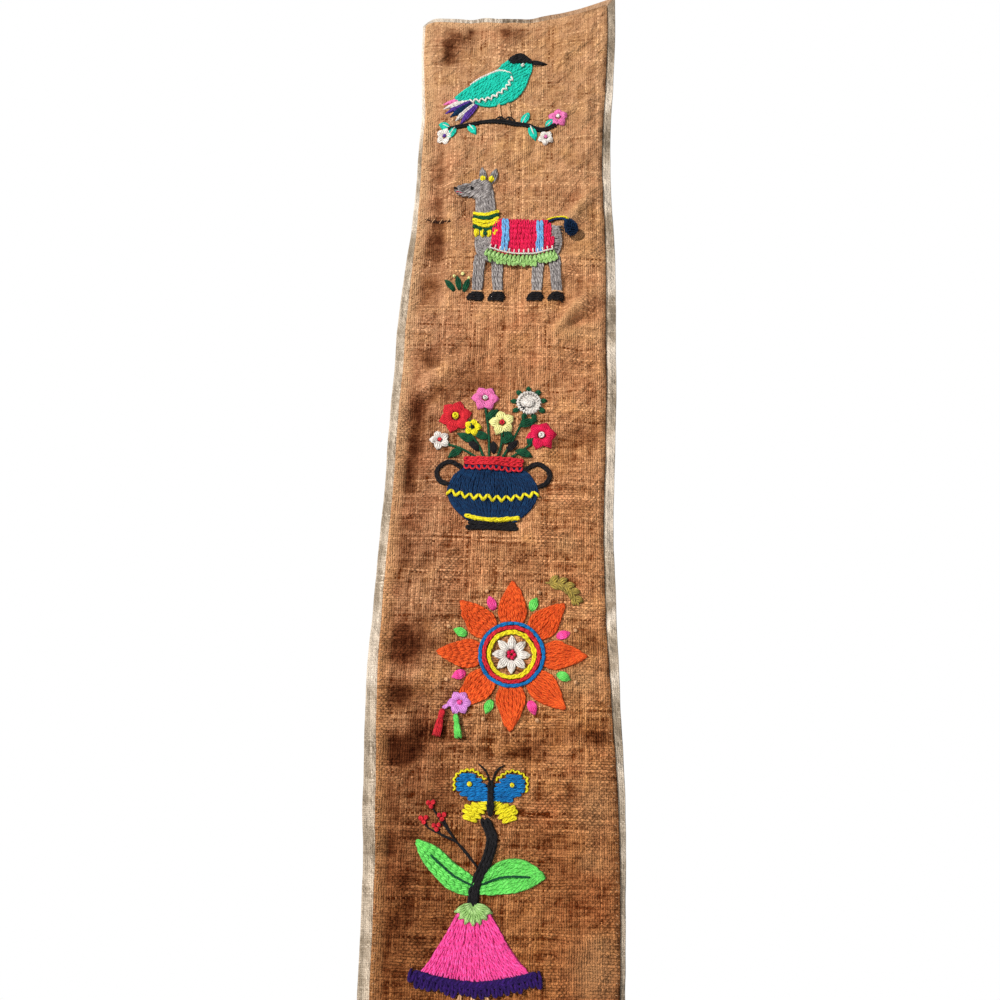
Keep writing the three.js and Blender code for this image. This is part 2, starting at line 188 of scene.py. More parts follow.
def sway(x, z):
    """The ripples of the long edges, the bow down the length and the curl of the raised corner."""
    waves = 0
    for w in EDGE_WAVES:
        inwards = x - outline("left", z) if w.edge == "left" else outline("right", z) - x
        fade = np.exp(-np.maximum(inwards, 0) / w.reach)
        waves = waves + w.size * fade * np.sin(2 * np.pi * (w.start - z) / w.period)
    bow = BOW["size"] * np.sin(2 * np.pi * (BOW["start"] - z) / BOW["period"])
    across = np.maximum((x - CURL["start"]) / CURL["width"], 0)
    up = np.maximum(1 + z / CURL["depth"], 0)
    return waves * softness(x, z) + bow + CURL["lift"] * (across * up) ** CURL["power"]


def backing_share(x, z):
    """How much of the folds the backing follows: all at its hem, less inside."""
    return 1 + (BACKING_SHARE - 1) * smoothstep(inside_face(x, z) - HEM, 0, BACKING_FADE)


SWAY_AT_ORIGIN = sway(0.0, 0.0) + pucker(0.0, 0.0)


def drape(x, z, share=1.0):
    return sway(x, z) + share * pucker(x, z) - SWAY_AT_ORIGIN


def rise(x, z):
    """How far the raised right corner goes up, less the drop of the rounded left one."""
    up = np.clip((x - PEAK["start"]) / PEAK["width"], 0, 1.05) ** PEAK["power"] * np.exp(z / PEAK["depth"])
    corner = np.clip((face_left(0.0) + ROUND["width"] - x) / ROUND["width"], 0, 1.4) ** 2
    return PEAK["rise"] * up - ROUND["drop"] * corner * np.exp(z / ROUND["depth"])


def pressed(x, z, height):
    """The face's turned edges lie flatter than its open cloth."""
    base = BACKING_HEM_HEIGHT + BACKING_THICKNESS / 2
    inside = smoothstep(inside_face(x, z), PRESSED["from"], PRESSED["to"])
    return height - np.maximum(height - base, 0) * PRESSED["share"] * (1 - inside)


# ---------------------------------------------------------------------------------------------------------
# Small folds and shades, too fine for the CAD solids
# ---------------------------------------------------------------------------------------------------------

# Unevenness of hand-woven cloth that has lain folded: seeded crumples, and straight creases.
CRUMPLES = table("cell size", [(31, 1.8), (14, 1.6), (7.4, 0.8)])
CRUMPLE_SLANT = (0.64, 0.77)
CRUMPLE_STRETCH = 0.6
LATTICE_SIZE = 64
LATTICE = np.random.default_rng(5).uniform(-1, 1, (len(CRUMPLES), LATTICE_SIZE, LATTICE_SIZE))
FINE_CREASES = table(CREASE, [
    (38, -49, 58, -8, 4.5, 1.7), (24, -25, 28, -29, 4, -1.2), (56, -23, 58, -29, 3.5, -1.3),
    (12, -21, 16, -49, 5, 1), (-24, -13, -20, -35, 4.5, 0.8), (60, -83, 48, -103, 5, 1),
    (22, -305, 52, -295, 5, -1.4), (36, -357, 62, -342, 4, -2.3), (30, -327, 60, -315, 5, 1.4),
    (20, -377, 60, -371, 5, 0.91), (-40, -409, -12, -435, 5, 0.7), (16, -439, 56, -433, 4, -1.2),
    (26, -429, 60, -421, 5, 1), (-58, -457, -30, -451, 5, 0.7), (38, -483, 68, -479, 5, -1.6),
    (30, -521, 58, -505, 9, 1.7), (-52, -543, -20, -535, 5, 0.9), (-66, -557, -26, -549, 4.5, -1.3),
    (28, -551, 60, -543, 5, -1.2), (-30, -583, 40, -577, 5, 0.91), (44, -605, 58, -645, 5, 1),
    (-56, -645, -44, -605, 5, -0.8), (-52, -681, -40, -645, 5, 0.7), (36, -677, 60, -665, 6, 1.2),
    (48, -316, 68, -300, 4.5, 1.6), (44, -140, 66, -118, 5, 1.3), (34, -118, 50, -92, 5, -1.1),
    (52, -284, 60, -296, 4.5, -2.0), (44, -222, 52, -212, 4, 1.3), (-62, -335, -57, -345, 4, -2.8),
    (-52, -337, -51, -357, 3.6, 1.4), (36, -58, 40, -30, 5, 1.2),
])

# Longer folds that bend on their way.
FOLDS = table("points width height", [
    ([(37, -193), (49, -176), (64, -154)], 4.0, 3.5), ([(30, -188), (43, -170), (54, -158)], 3.8, -2.2),
    ([(48, -186), (62, -168)], 4, -1.3), ([(33, -274), (48, -254), (66, -242)], 4.1, 3.6),
    ([(28, -273), (43, -247), (60, -229)], 4.1, -3.0), ([(24, -268), (34, -248), (38, -222)], 4.2, 1.9),
    ([(37, -274), (56, -258), (68, -253)], 3.6, -2.8), ([(34, -281), (52, -268), (67, -262)], 4.4, 2.0),
    ([(-71, -330), (-54, -313), (-24, -290)], 4.5, 2.6),
    ([(-66, -340), (-50, -322), (-36, -312)], 4, -1.8),
])

# Where the long creases are clear of small crumples: here the height is the share that is left out.
STILL_CLOTH = table(CREASE, [
    (34, -268, 62, -236, 17, 0.65), (36, -190, 60, -160, 12, 0.5), (-66, -326, -28, -294, 10, 0.5),
])

# Soft patches where the face is darker (dark above 0) or lighter than around them: partly stains, partly
# painted shade in folds and beside the raised motifs, and painted light.
PATCHES = table("x z wide high dark", [
    (-42, -60, 13, 22, 0.13), (-62, -30, 10, 18, 0.12), (-46, -28, 9, 11, 0.6), (-51, -30, 5, 14, 0.5),
    (-43, -19, 6, 6, 0.7), (-33, -14, 2.8, 6, 0.9), (-8, -15, 4.6, 10, 1.0), (3, -18, 7, 7, 0.5),
    (28, -42, 8, 16, 0.2), (57, -32, 6, 8, 0.3), (-62, -90, 7, 38, -0.3), (-54, -138, 7, 12, 0.28),
    (-38, -124, 10, 9, -0.2), (50, -98, 10, 12, -0.25), (-50, -183, 6, 30, 0.4),
    (-38, -165, 5, 20, 0.22), (-55, -199, 10, 13, 0.38), (-60, -212, 12, 4, 0.3),
    (52, -178, 9, 7, -0.25), (48, -205, 17, 18, -0.14), (-55, -240, 11, 14, 0.5), (65, -251, 8, 7, 0.3),
    (58, -271, 15, 7, -0.4), (43, -268, 8, 6, -0.4), (58, -290, 12, 6, 0.2), (-60, -298, 13, 8, 0.28),
    (-20, -290, 40, 9, 0.28), (-50, -293, 13, 9, 0.2), (-18, -311, 15, 8, 0.42),
    (-42, -323, 13, 13, 0.36), (-62, -333, 7, 14, 0.46), (-69, -352, 6, 10, -0.3),
    (-67, -394, 7, 7, -0.35), (-59, -358, 4, 14, 0.26), (-64, -378, 6, 15, 0.48),
    (56, -345, 11, 8, 0.42), (52, -388, 12, 24, 0.12), (-62, -446, 8, 18, 0.18),
    (-60, -449, 13, 4, -0.3), (-48, -465, 10, 7, -0.15), (13, -439, 12, 13, 0.5),
    (44, -424, 15, 8, -0.35), (-58, -420, 16, 20, 0.18), (57, -441, 9, 6, 0.25), (-61, -495, 8, 7, 0.8),
    (-61, -478, 7, 6, -0.35), (-42, -478, 8, 8, 0.3), (-70, -492, 6, 8, 0.25), (-60, -490, 13, 13, 0.25),
    (-40, -497, 10, 8, 0.3), (56, -492, 15, 6, 0.5), (56, -473, 14, 7, -0.2), (50, -516, 18, 8, -0.45),
    (-50, -537, 7, 10, 0.25), (-58, -527, 15, 6, 0.5), (-66, -514, 10, 6, -0.4), (-60, -549, 8, 4, -0.3),
    (-66, -572, 9, 5, -0.3), (-59, -541, 7, 6, -0.4), (-61, -561, 10, 7.5, 1.05),
    (-48, -554, 11, 6, 0.6), (-38, -547, 8, 4.5, 0.35), (14, -563, 12, 7, 0.45), (10, -303, 34, 9, 0.16),
    (31, -30, 4, 5, 0.3), (65, -549, 9, 9, 0.34), (22, -555, 14, 10, 0.4), (44, -550, 12, 8, 0.15),
    (56, -547, 18, 4, 0.35), (-28, -590, 9, 16, 0.25), (-58, -605, 9, 8, 0.15), (-60, -618, 15, 6, 0.35),
    (-53, -627, 6, 8, -0.3), (44, -612, 10, 9, 0.25), (50, -638, 12, 8, 0.42), (-14, -556, 20, 8, 0.22),
    (-36, -583, 9, 12, 0.3), (62, -592, 13, 18, -0.35), (-58, -617, 14, 26, 0.18),
    (-52, -642, 4.5, 12, 0.26), (-53, -655, 5, 9, 0.22), (-59, -667, 5, 9, 0.22),
    (-30, -645, 26, 32, 0.18), (24, -609, 13, 7, 0.3), (36, -622, 12, 22, 0.16),
    (58, -624, 12, 9, -0.25), (62, -684, 16, 18, -0.4), (65, -654, 8, 6, 0.2), (64, -667, 9, 5, -0.2),
    (-20, -729, 26, 12, 0.3), (44, -733, 20, 10, 0.24),
])

# How dark (above 0) or light the backing's two borders are painted on the way down: painted shade and painted
# light of their crumples.
BORDER_SHADES = table("z left right", [
    (-760, 0.1, 0.4), (-690, 0.1, 0.4), (-667, 0.15, 0.15), (-640, 0.05, 0.4), (-623, 0.3, -0.1),
    (-606, 0.05, 0.0), (-589, 0.25, -0.05), (-570, 0.1, -0.1), (-553, 0.4, 0.5), (-535, 0.2, 0.25),
    (-517, -0.2, -0.2), (-498, -0.1, 0.35), (-478, -0.1, -0.25), (-459, 0.05, 0.55), (-438, 0.0, 0.0),
    (-419, 0.0, -0.15), (-398, 0.1, -0.15), (-377, 0.1, -0.15), (-355, 0.0, -0.1), (-333, 0.05, 0.3),
    (-311, 0.05, 0.0), (-288, 0.0, -0.2), (-265, 0.1, 0.5), (-241, 0.0, -0.25), (-217, 0.3, -0.1),
    (-192, -0.1, 0.15), (-167, -0.15, -0.2), (-141, 0.2, -0.1), (-115, -0.1, 0.55), (-88, -0.35, -0.25),
    (-60, -0.35, 0.0), (-32, -0.3, 0.5), (0, -0.2, 0.2),
])
BORDER_SLANT = 0.9
FAR_PAST = 9
DARK_LEFT = {"x": (-15, 70), "z": (180, 420), "size": 0.4}
# How far the folds' crests are painted lighter and their troughs darker: painted highlight and painted shade.
FOLD_PAINTED_LIGHT = 0.1


def folds_at(x, z):
    total = np.zeros(np.broadcast(x, z).shape)
    for fold in FOLDS:
        line = np.array(fold.points, float)
        steps = np.hypot(*np.diff(line, axis=0).T)
        before = np.concatenate([[0], np.cumsum(steps)])
        nearest, along = np.full(total.shape, 1e9), np.zeros(total.shape)
        for (ax, az), (bx, bz), step, start in zip(line, line[1:], steps, before):
            t = np.clip(((x - ax) * (bx - ax) + (z - az) * (bz - az)) / step**2, 0, 1)
            away = np.hypot(x - ax - t * (bx - ax), z - az - t * (bz - az))
            along = np.where(away < nearest, (start + t * step) / before[-1], along)
            nearest = np.minimum(nearest, away)
        swell = 0.4 + 0.6 * np.sin(np.pi * along)
        total = total + fold.height * swell * np.exp(-((nearest / fold.width) ** 2))
    return total


def crumpled(x, z, cell, lattice):
    """Smooth seeded noise on a slanted grid, whose bumps are about one cell across."""
    c, s = CRUMPLE_SLANT
    u, v = (c * x - s * z) / cell, CRUMPLE_STRETCH * (s * x + c * z) / cell
    i, j = np.floor(u).astype(int), np.floor(v).astype(int)
    fu, fv = (f**3 * (f * (6 * f - 15) + 10) for f in (u - i, v - j))

    def row(dj):
        a, b = (lattice[(i + di) % LATTICE_SIZE, (j + dj) % LATTICE_SIZE] for di in (0, 1))
        return a * (1 - fu) + b * fu

    return row(0) * (1 - fv) + row(1) * fv


def unevenness(x, z):
    x, z = np.asarray(x, float), np.asarray(z, float)
    total = creases_at(x, z, FINE_CREASES) + folds_at(x, z)
    stiller = 1 - creases_at(x, z, STILL_CLOTH)
    for crumple, lattice in zip(CRUMPLES, LATTICE):
        total = total + crumple.size * stiller * crumpled(x, z, crumple.cell, lattice)
    return total * softness(x, z)


def patches_at(x, z):
    return sum(p.dark * np.exp(-(((x - p.x) / p.wide) ** 2) - ((z - p.z) / p.high) ** 2) for p in PATCHES)


def border_shade(x, z):
    """The table's painted shade and light of the crumpled borders, leaning so that they cross the right
    border on the slant.
    """
    slanted = z - BORDER_SLANT * (x - face_right(z)) * (x > 0)
    left, right = (
        np.interp(slanted, [row.z for row in BORDER_SHADES], [getattr(row, side) for row in BORDER_SHADES])
        for side in ("left", "right"))
    return left + (right - left) * smoothstep(x, -25, 15)


def face_marks(x, z):
    """How deep in a hollow a place of the face is, and how dark: stains, a darker lower left, painted shade
    in patches and fold troughs, painted light on fold crests.
    """
    low_left = smoothstep(-x, *DARK_LEFT["x"]) * smoothstep(-z, *DARK_LEFT["z"])
    return -pucker(x, z), patches_at(x, z) + DARK_LEFT["size"] * low_left - FOLD_PAINTED_LIGHT * folds_at(x, z)


def backing_marks(x, z, hem):
    """How far outside the face's edge a place of the backing's hem is, and how dark or light it is painted:
    painted shade and light of its crumples.
    """
    past_face = np.minimum(np.maximum(face_left(z) - x, x - face_right(z)), FAR_PAST)
    return np.where(hem, past_face, FAR_PAST), np.where(hem, border_shade(x, z), 0)


# ---------------------------------------------------------------------------------------------------------
# Meshes
# ---------------------------------------------------------------------------------------------------------


def to_mesh(name, points, quads, material, marks, corner_marks=None):
    """A mesh object of quads from points in millimetres, riding on the one body.

    marks: name to one vector a point; corner_marks: name to one vector a corner."""
    mesh = bpy.data.meshes.new(name)
    points = np.asarray(points, np.float32) * MM
    quads = np.asarray(quads, np.int32)
    mesh.vertices.add(len(points))
    mesh.vertices.foreach_set("co", points.ravel())
    mesh.loops.add(quads.size)
    mesh.loops.foreach_set("vertex_index", quads.ravel())
    mesh.polygons.add(len(quads))
    mesh.polygons.foreach_set("loop_start", np.arange(0, quads.size, 4, dtype=np.int32))
    mesh.update(calc_edges=True)
    mesh.shade_smooth()
    for domain, values in (("POINT", marks), ("CORNER", corner_marks or {})):
        for key, vectors in values.items():
            layer = mesh.attributes.new(key, "FLOAT_VECTOR", domain)
            layer.data.foreach_set("vector", np.asarray(vectors, np.float32).ravel())
    mesh.materials.append(material)
    piece = bpy.data.objects.new(name, mesh)
    bpy.context.scene.collection.objects.link(piece)
    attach(piece, "root")
    return piece


def spaced(length, step):
    """Places from 0 to length, about one step apart."""
    return np.linspace(0, length, max(int(round(length / step)), 1) + 1)


BEND_STEPS = 5
HEM_STEP = 3.2


def turned_cloth(name, material, grid, thickness, height, hem_height, is_face):
    """A cloth whose four edges are turned under, cut as one sheet: a grid in the flat, less its corners.

    It is laid out with a height and a normal for each point, given two surfaces, and draped."""
    facing = 1 if height > hem_height else -1
    bend = abs(height - hem_height) / 2
    arc = math.pi * bend
    middle = (height + hem_height) / 2

    # Distances past an edge, measured along the cloth: round the bend, then in under it.
    beyond = np.concatenate([np.linspace(0, arc, BEND_STEPS + 1)[1:], arc + spaced(HEM, HEM_STEP)[1:]])

    def axis(first, last, steps):
        """For each line of the grid: its place on the main part, how far past an edge it is, and which."""
        on, main = np.ones(len(beyond)), np.zeros(steps + 1)
        place = np.concatenate([first * on, np.linspace(first, last, steps + 1), last * on])
        return place, np.concatenate([beyond[::-1], main, beyond]), np.concatenate([-on, main, on])

    def turned(past):
        """The angle round the bend, how far out it stands, and how far back in the hem has come."""
        angle = np.minimum(past / bend, math.pi)
        return angle, bend * np.sin(angle), np.maximum(past - arc, 0)

    def mitre(depth, angle, distance):
        return (depth + MITRE_GAP * angle / math.pi) * np.maximum(0, 1 - distance / MITRE_REACH)

    top, bottom = (FACE_TOP, FACE_BOTTOM) if is_face else (0, -LENGTH)
    across, past_side, side = axis(0, 1, int(round(WIDTH / grid)))
    down, past_end, end = (line[:, None] for line in axis(top, bottom, int(round((top - bottom) / grid))))
    kept = (past_side == 0) | (past_end == 0)
    side_angle, side_out, side_depth = turned(past_side)
    end_angle, end_out, end_depth = turned(past_end)

    z_cut = down + end * end_depth
    z_cut = (z_cut - mitre(side_depth, side_angle, np.maximum(top - z_cut, 0))
             + mitre(side_depth, side_angle, np.maximum(z_cut - bottom, 0)))
    if is_face:
        left, right = face_left(z_cut), face_right(z_cut)
    else:
        left, right = outline("left", z_cut), outline("right", z_cut)
    x_edge = left + (right - left) * across
    x_cut = x_edge - side * side_depth
    x_cut = x_cut + mitre(end_depth, end_angle, x_edge - left) - mitre(end_depth, end_angle, right - x_edge)

    x, z = x_cut + side * side_out, z_cut - end * end_out
    angle = np.maximum(side_angle, end_angle)
    h = middle + (height - middle) * np.cos(angle)
    normal_x, normal_z = side * np.sin(side_angle), -end * np.sin(end_angle)
    normal_h = facing * np.cos(angle)

    # The flat pattern, and how far each point is from the turned edge.
    flat_x = x_edge + side * past_side
    flat_z = np.broadcast_to(down - end * past_end, kept.shape)
    from_edge = np.minimum(np.minimum(x_edge - left, right - x_edge), np.minimum(top - down, down - bottom))
    from_rim = from_edge - past_side - past_end

    points, flats, marks = [], [], []
    for surface in (1, -1):
        half = surface * thickness / 2
        px, pz = x + normal_x * half, z + normal_z * half
        share = 1.0 if is_face else backing_share(px, pz)
        depth = pressed(px, pz, h + normal_h * half) + drape(px, pz, share) + share * unevenness(px, pz)
        points.append(np.stack([px, -depth, pz + rise(px, pz)], -1)[kept])
        flats.append(np.stack([flat_x, flat_z, np.full_like(flat_x, surface)], -1)[kept])
        own_marks = face_marks(px, pz) if is_face else backing_marks(px, pz, from_rim < 0)
        marks.append(np.stack([from_rim, *own_marks], -1)[kept])

    count = kept.sum()
    number = np.full(kept.shape, -1)
    number[kept] = np.arange(count)
    cells = np.stack([number[1:, :-1], number[1:, 1:], number[:-1, 1:], number[:-1, :-1]], -1)
    cells = cells[(cells >= 0).all(-1)]
    if facing < 0:
        cells = cells[:, ::-1]
    sides = np.concatenate([cells[:, [0, 1]], cells[:, [1, 2]], cells[:, [2, 3]], cells[:, [3, 0]]])
    known = set(map(tuple, sides.tolist()))
    rims = [(q, p, p + count, q + count) for p, q in known if (q, p) not in known]
    quads = np.concatenate([cells, cells[:, ::-1] + count, np.array(sorted(rims))])
    return to_mesh(name, np.concatenate(points), quads, material, {
        "flat": np.concatenate(flats),
        "marks": np.concatenate(marks),
    })


# ---------------------------------------------------------------------------------------------------------
# Materials
# ---------------------------------------------------------------------------------------------------------


class Value:
    """What a shader node gives. It can be used in sums and spread over a range."""

    def __init__(self, nodes, socket):
        self.nodes, self.socket = nodes, socket

    def __add__(self, other):
        return self.nodes.math("ADD", self, other)

    def __sub__(self, other):
        return self.nodes.math("SUBTRACT", self, other)

    def __rsub__(self, other):
        return self.nodes.math("SUBTRACT", other, self)

    def __mul__(self, other):
        return self.nodes.math("MULTIPLY", self, other)

    def __truediv__(self, other):
        return self.nodes.math("DIVIDE", self, other)

    __radd__, __rmul__ = __add__, __mul__

    def span(self, low, high, to_low=0.0, to_high=1.0, kind="LINEAR"):
        """Goes from to_low to to_high, and no further, where the value goes from low to high."""
        node = self.nodes.add("ShaderNodeMapRange", interpolation_type=kind)
        return self.nodes.fed(node, self, low, high, to_low, to_high)


class Nodes:
    """The nodes of one material, and short ways to add them."""

    def __init__(self, name):
        self.material = bpy.data.materials.new(name)
        self.material.use_nodes = True
        self.tree = self.material.node_tree
        self.tree.nodes.clear()
        self.shader = self.add("ShaderNodeBsdfPrincipled")
        output = self.add("ShaderNodeOutputMaterial")
        self.tree.links.new(self.shader.outputs["BSDF"], output.inputs["Surface"])

    def add(self, kind, **settings):
        node = self.tree.nodes.new(kind)
        for key, value in settings.items():
            setattr(node, key, value)
        return node

    def feed(self, socket, value):
        if isinstance(value, Value):
            self.tree.links.new(value.socket, socket)
        else:
            socket.default_value = value

    def fed(self, node, *values):
        """The node's first output, with the values put into its first inputs."""
        for socket, value in zip(node.inputs, values):
            self.feed(socket, value)
        return Value(self, node.outputs[0])

    def math(self, operation, a, b=0.0, clamp=False):
        return self.fed(self.add("ShaderNodeMath", operation=operation, use_clamp=clamp), a, b)

    def mix(self, factor, a, b, blend="MIX"):
        node = self.add("ShaderNodeMix", data_type="RGBA", blend_type=blend)
        for i, value in ((0, factor), (6, a), (7, b)):
            self.feed(node.inputs[i], value)
        return Value(self, node.outputs[2])

    def tint(self, factor, colour, tint):
        """The colour multiplied by the tint, as far as the factor says."""
        return self.mix(factor, colour, tint + (1.0,), "MULTIPLY")

    def parts(self, vector):
        split = self.add("ShaderNodeSeparateXYZ")
        self.fed(split, vector)
        return [Value(self, output) for output in split.outputs]

    def attribute(self, name):
        return self.parts(Value(self, self.add("ShaderNodeAttribute", attribute_name=name).outputs["Vector"]))

    def vector(self, *values):
        return self.fed(self.add("ShaderNodeCombineXYZ"), *values)

    def noise(self, place, scale, detail, roughness=0.5):
        node = self.add("ShaderNodeTexNoise")
        self.feed(node.inputs["Vector"], self.vector(*place))
        for key, value in (("Scale", scale), ("Detail", detail), ("Roughness", roughness)):
            self.feed(node.inputs[key], value)
        return Value(self, node.outputs["Fac"])

    def white(self, value):
        node = self.add("ShaderNodeTexWhiteNoise", noise_dimensions="1D")
        self.feed(node.inputs["W"], value)
        return Value(self, node.outputs["Value"])

    def finish(self, relief, distance, inputs):
        """Gives the shader its inputs and its bumps, and returns the material."""
        bump = self.add("ShaderNodeBump")
        self.feed(bump.inputs["Height"], relief)
        self.feed(bump.inputs["Distance"], distance)
        for key, value in {"Normal": Value(self, bump.outputs[0]), **inputs}.items():
            self.feed(self.shader.inputs[key], value)
        return self.material


def linear(red, green, blue):
    """A colour written as 0 to 255 on the screen, as the shader's linear values."""
    values = [v / 255 for v in (red, green, blue)]
    return tuple(v / 12.92 if v <= 0.04045 else ((v + 0.055) / 1.055) ** 2.4 for v in values) + (1.0,)


def plain_weave(n, warp_step, weft_step, wander, slub, lead_size, weft_below=0.0):
    """Plain weave in the cloth's flat pattern, its threads wandering by millimetres.

    slub: how unevenly they are spun; lead_size: how far one set of threads shows more than the other;
    weft_below: how far the weft shows more towards the foot. Returns how high the weave stands, how light
    each place's thread is, and a fine fibre noise."""
    x, z, _ = n.attribute("flat")
    drift_x, drift_z = (
        n.noise(place, 0.055, 4.0, 0.72) * wander - wander / 2 for place in ((x, z, 0.0), (z, x, 7.0)))
    u, v = (x + drift_x) / warp_step, (z + drift_z) / weft_step
    warp, weft = n.math("FLOOR", u), n.math("FLOOR", v)

    def crown(across, thick):
        """How high a thread stands at a place across it."""
        off = n.math("ABSOLUTE", n.math("FRACT", across) * 2.0 - 1.0) / thick
        return n.math("SQRT", n.math("SUBTRACT", 1.0, off * off, clamp=True))

    # The two sets of threads pass over each other, and one shows more than the other from place to place.
    lead = n.noise((x, z, 15.0), 0.05, 3.0, 0.6).span(0.35, 0.65, -lead_size, lead_size)
    lead = lead - z.span(-200, -560, 0.0, weft_below)

    def passing(across, other, share):
        return n.math("SINE", across * math.pi + other * math.pi) * 0.3 + share

    # Hand-spun yarn: each thread has its own thickness, and thickens and thins along its run.
    warp_own, weft_own = n.white(warp), n.white(weft + 501.5)
    warp_run = n.noise((warp * 3.7, z * 0.09, 0.0), 1.0, 3.0)
    weft_run = n.noise((weft * 3.7, x * 0.13, 9.0), 1.0, 3.0)
    warp_thick = warp_own * slub + warp_run.span(0.3, 0.7, 0.7, 1.02)
    weft_thick = weft_own * slub + weft_run.span(0.3, 0.7, 0.66, 0.98)
    warp_up = crown(u, warp_thick) * passing(v, warp, lead + 0.7)
    weft_up = crown(v, weft_thick) * passing(u, weft + 1.0, 0.64 - lead)

    # Now and then a thread is thick and light and stands proud, or is thin and sunk.
    def spun(own, run):
        light = own.span(0.86, 0.9, 0.0, 0.6) * run.span(0.35, 0.55)
        dull = own.span(0.1, 0.06, 0.0, 0.5) * run.span(0.6, 0.35)
        return n.vector(own * 0.14 + run * 1.05 + light - dull, light)

    shows = n.math("GREATER_THAN", warp_up, weft_up)
    tone, light, _ = n.parts(n.mix(shows, spun(weft_own, weft_run), spun(warp_own, warp_run)))
    height = n.math("MAXIMUM", warp_up, weft_up) + light * 0.9
    return height, tone, n.noise((x, z, 0.0), 1.9, 3.0, 0.65)


def face_cloth():
    n = Nodes("face_cloth")
    height, tone, fibre = plain_weave(
        n, warp_step=1.5, weft_step=1.6, wander=3.0, slub=0.2, lead_size=0.3, weft_below=0.1)
    x, z, _ = n.attribute("flat")
    from_edge, hollow, patch = n.attribute("marks")

    # Squeezed and fuzzy yarn breaks up the weave, and small crumples run over it on the slant.
    fuzz = n.noise((x, z, 2.0), 0.36, 3.0, 0.62)
    crumple = n.noise((x * 0.64 - z * 0.77, x * 0.3 + z * 0.25, 6.0), 0.2, 3.0, 0.55)
    # Bunched threads, a few together: streaks along the warp and along the weft.
    down_streak = n.noise((x * 0.28, z * 0.03, 11.0), 1.0, 2.0, 0.6)
    cross_streak = n.noise((x * 0.035, z * 0.36, 12.0), 1.0, 2.0, 0.6)
    streak = (cross_streak - 0.5) * z.span(-40, -560, 0.55, 1.3) + down_streak + 0.5

    tone = tone + fibre.span(0.3, 0.7, -0.14, 0.14) + fuzz.span(0.3, 0.7, -0.14, 0.14)
    coarse = z.span(-60, -560, 0.9, 1.8)
    tone = (tone - 0.6) * z.span(-200, -620, 1.0, 1.5) + 0.6
    # The crumple noise also paints the raised crumples lighter and the low ones darker: painted shade,
    # besides their bumps.
    tone = tone + (streak.span(0.7, 1.3, -0.25, 0.25) + crumple.span(0.3, 0.7, -0.16, 0.16)) * coarse
    colour = n.mix(tone.span(0.0, 1.2), linear(106, 54, 18), linear(230, 180, 135))
    worn = n.noise((x, z, 0.0), 0.07, 5.0, 0.65)
    colour = n.mix(worn.span(0.46, 0.62, 0.0, 0.24), colour, linear(212, 162, 118))
    dirt = n.noise((x, z, 4.0), 0.065, 5.0, 0.6)
    colour = n.mix(dirt.span(0.4, 0.75, 0.0, 0.26), colour, linear(112, 58, 28))

    # The hue wanders. Going down, the colour deepens, greyer at the left and yellower beside the star.
    hue = n.noise((x, z, 21.0), 0.028, 6.0, 0.72)
    left_foot = x.span(-20, -64) * z.span(-480, -660)
    # Painted shade darkens the hollows, and the patches bring stains and painted shade, in two steps that
    # keep their hue.
    painted_shade_and_stains = hollow.span(0.4, 4.4, 0.0, 0.4) + patch
    ragged = n.noise((x, z, 41.0), 0.08, 5.0, 0.6)
    inside = n.math("MAXIMUM", from_edge.span(0.5, 6.0, 0.3, 1.0), x.span(-40, 0))
    inside = n.math("MAXIMUM", inside, z.span(-420, -490, 0.0, 0.85))
    stain_and_shade_blotch = painted_shade_and_stains * ragged.span(0.3, 0.7, 0.55, 1.4) * inside
    for factor, tint in (
            (hue.span(0.5, 0.68, 0.0, 0.8), (1.06, 1.04, 0.84)),
            (hue.span(0.5, 0.34, 0.0, 0.8), (1.0, 0.84, 0.8)),
            (z.span(-60, -310, kind="SMOOTHSTEP"), (1.03, 0.93, 0.85)),
            (z.span(-120, -300, kind="SMOOTHSTEP"), (1.1, 1.08, 1.08)),
            (z.span(-330, -520, kind="SMOOTHSTEP"), (1.06, 1.06, 1.03)),
            (z.span(-450, -740, kind="SMOOTHSTEP"), (0.66, 0.5, 0.35)),
            (left_foot, (0.88, 0.83, 0.74)),
            (x.span(-15, -50) * z.span(-130, -280, 0.3, 1.0), (1.0, 1.07, 1.2)),
            (z.span(-360, -420) * z.span(-680, -600) * x.span(5, 40), (1.0, 0.95, 0.89)),
            (stain_and_shade_blotch.span(0.0, 0.67), (0.5, 0.39, 0.33)),
            (stain_and_shade_blotch.span(0.5, 1.0), (0.35, 0.26, 0.22))):
        colour = n.tint(factor, colour, tint)
    # Below 0 the marks paint the cloth lighter: painted highlight on fold crests, and lighter patches.
    colour = n.mix(painted_shade_and_stains.span(0.0, -0.4, 0.0, 0.4), colour, linear(212, 166, 118))

    # The edges are painted light, most at the left: wear and painted highlight on the rolled edge. The right
    # one is painted dark where it turns away from the light: painted shade.
    edge_wear_and_highlight = from_edge.span(0.5, 7.5, 1.0, 0.0) * x.span(60, -60, 0.3, 1.0)
    edge_wear_and_highlight = edge_wear_and_highlight * z.span(-440, -540, 1.0, 0.75) * fuzz.span(0.35, 0.65, 0.35, 1.0)
    colour = n.mix(edge_wear_and_highlight, colour, n.mix(z.span(-300, -520), linear(206, 164, 122), linear(218, 158, 104)))
    uneven = n.noise((0.0, z, 31.0), 0.035, 3.0, 0.7)
    turned = from_edge.span(-1.0, 3.4, 1.0, 0.0) * x.span(40, 60) * uneven.span(0.4, 0.6, 0.35, 1.0)
    colour = n.mix(turned, colour, linear(74, 42, 24))

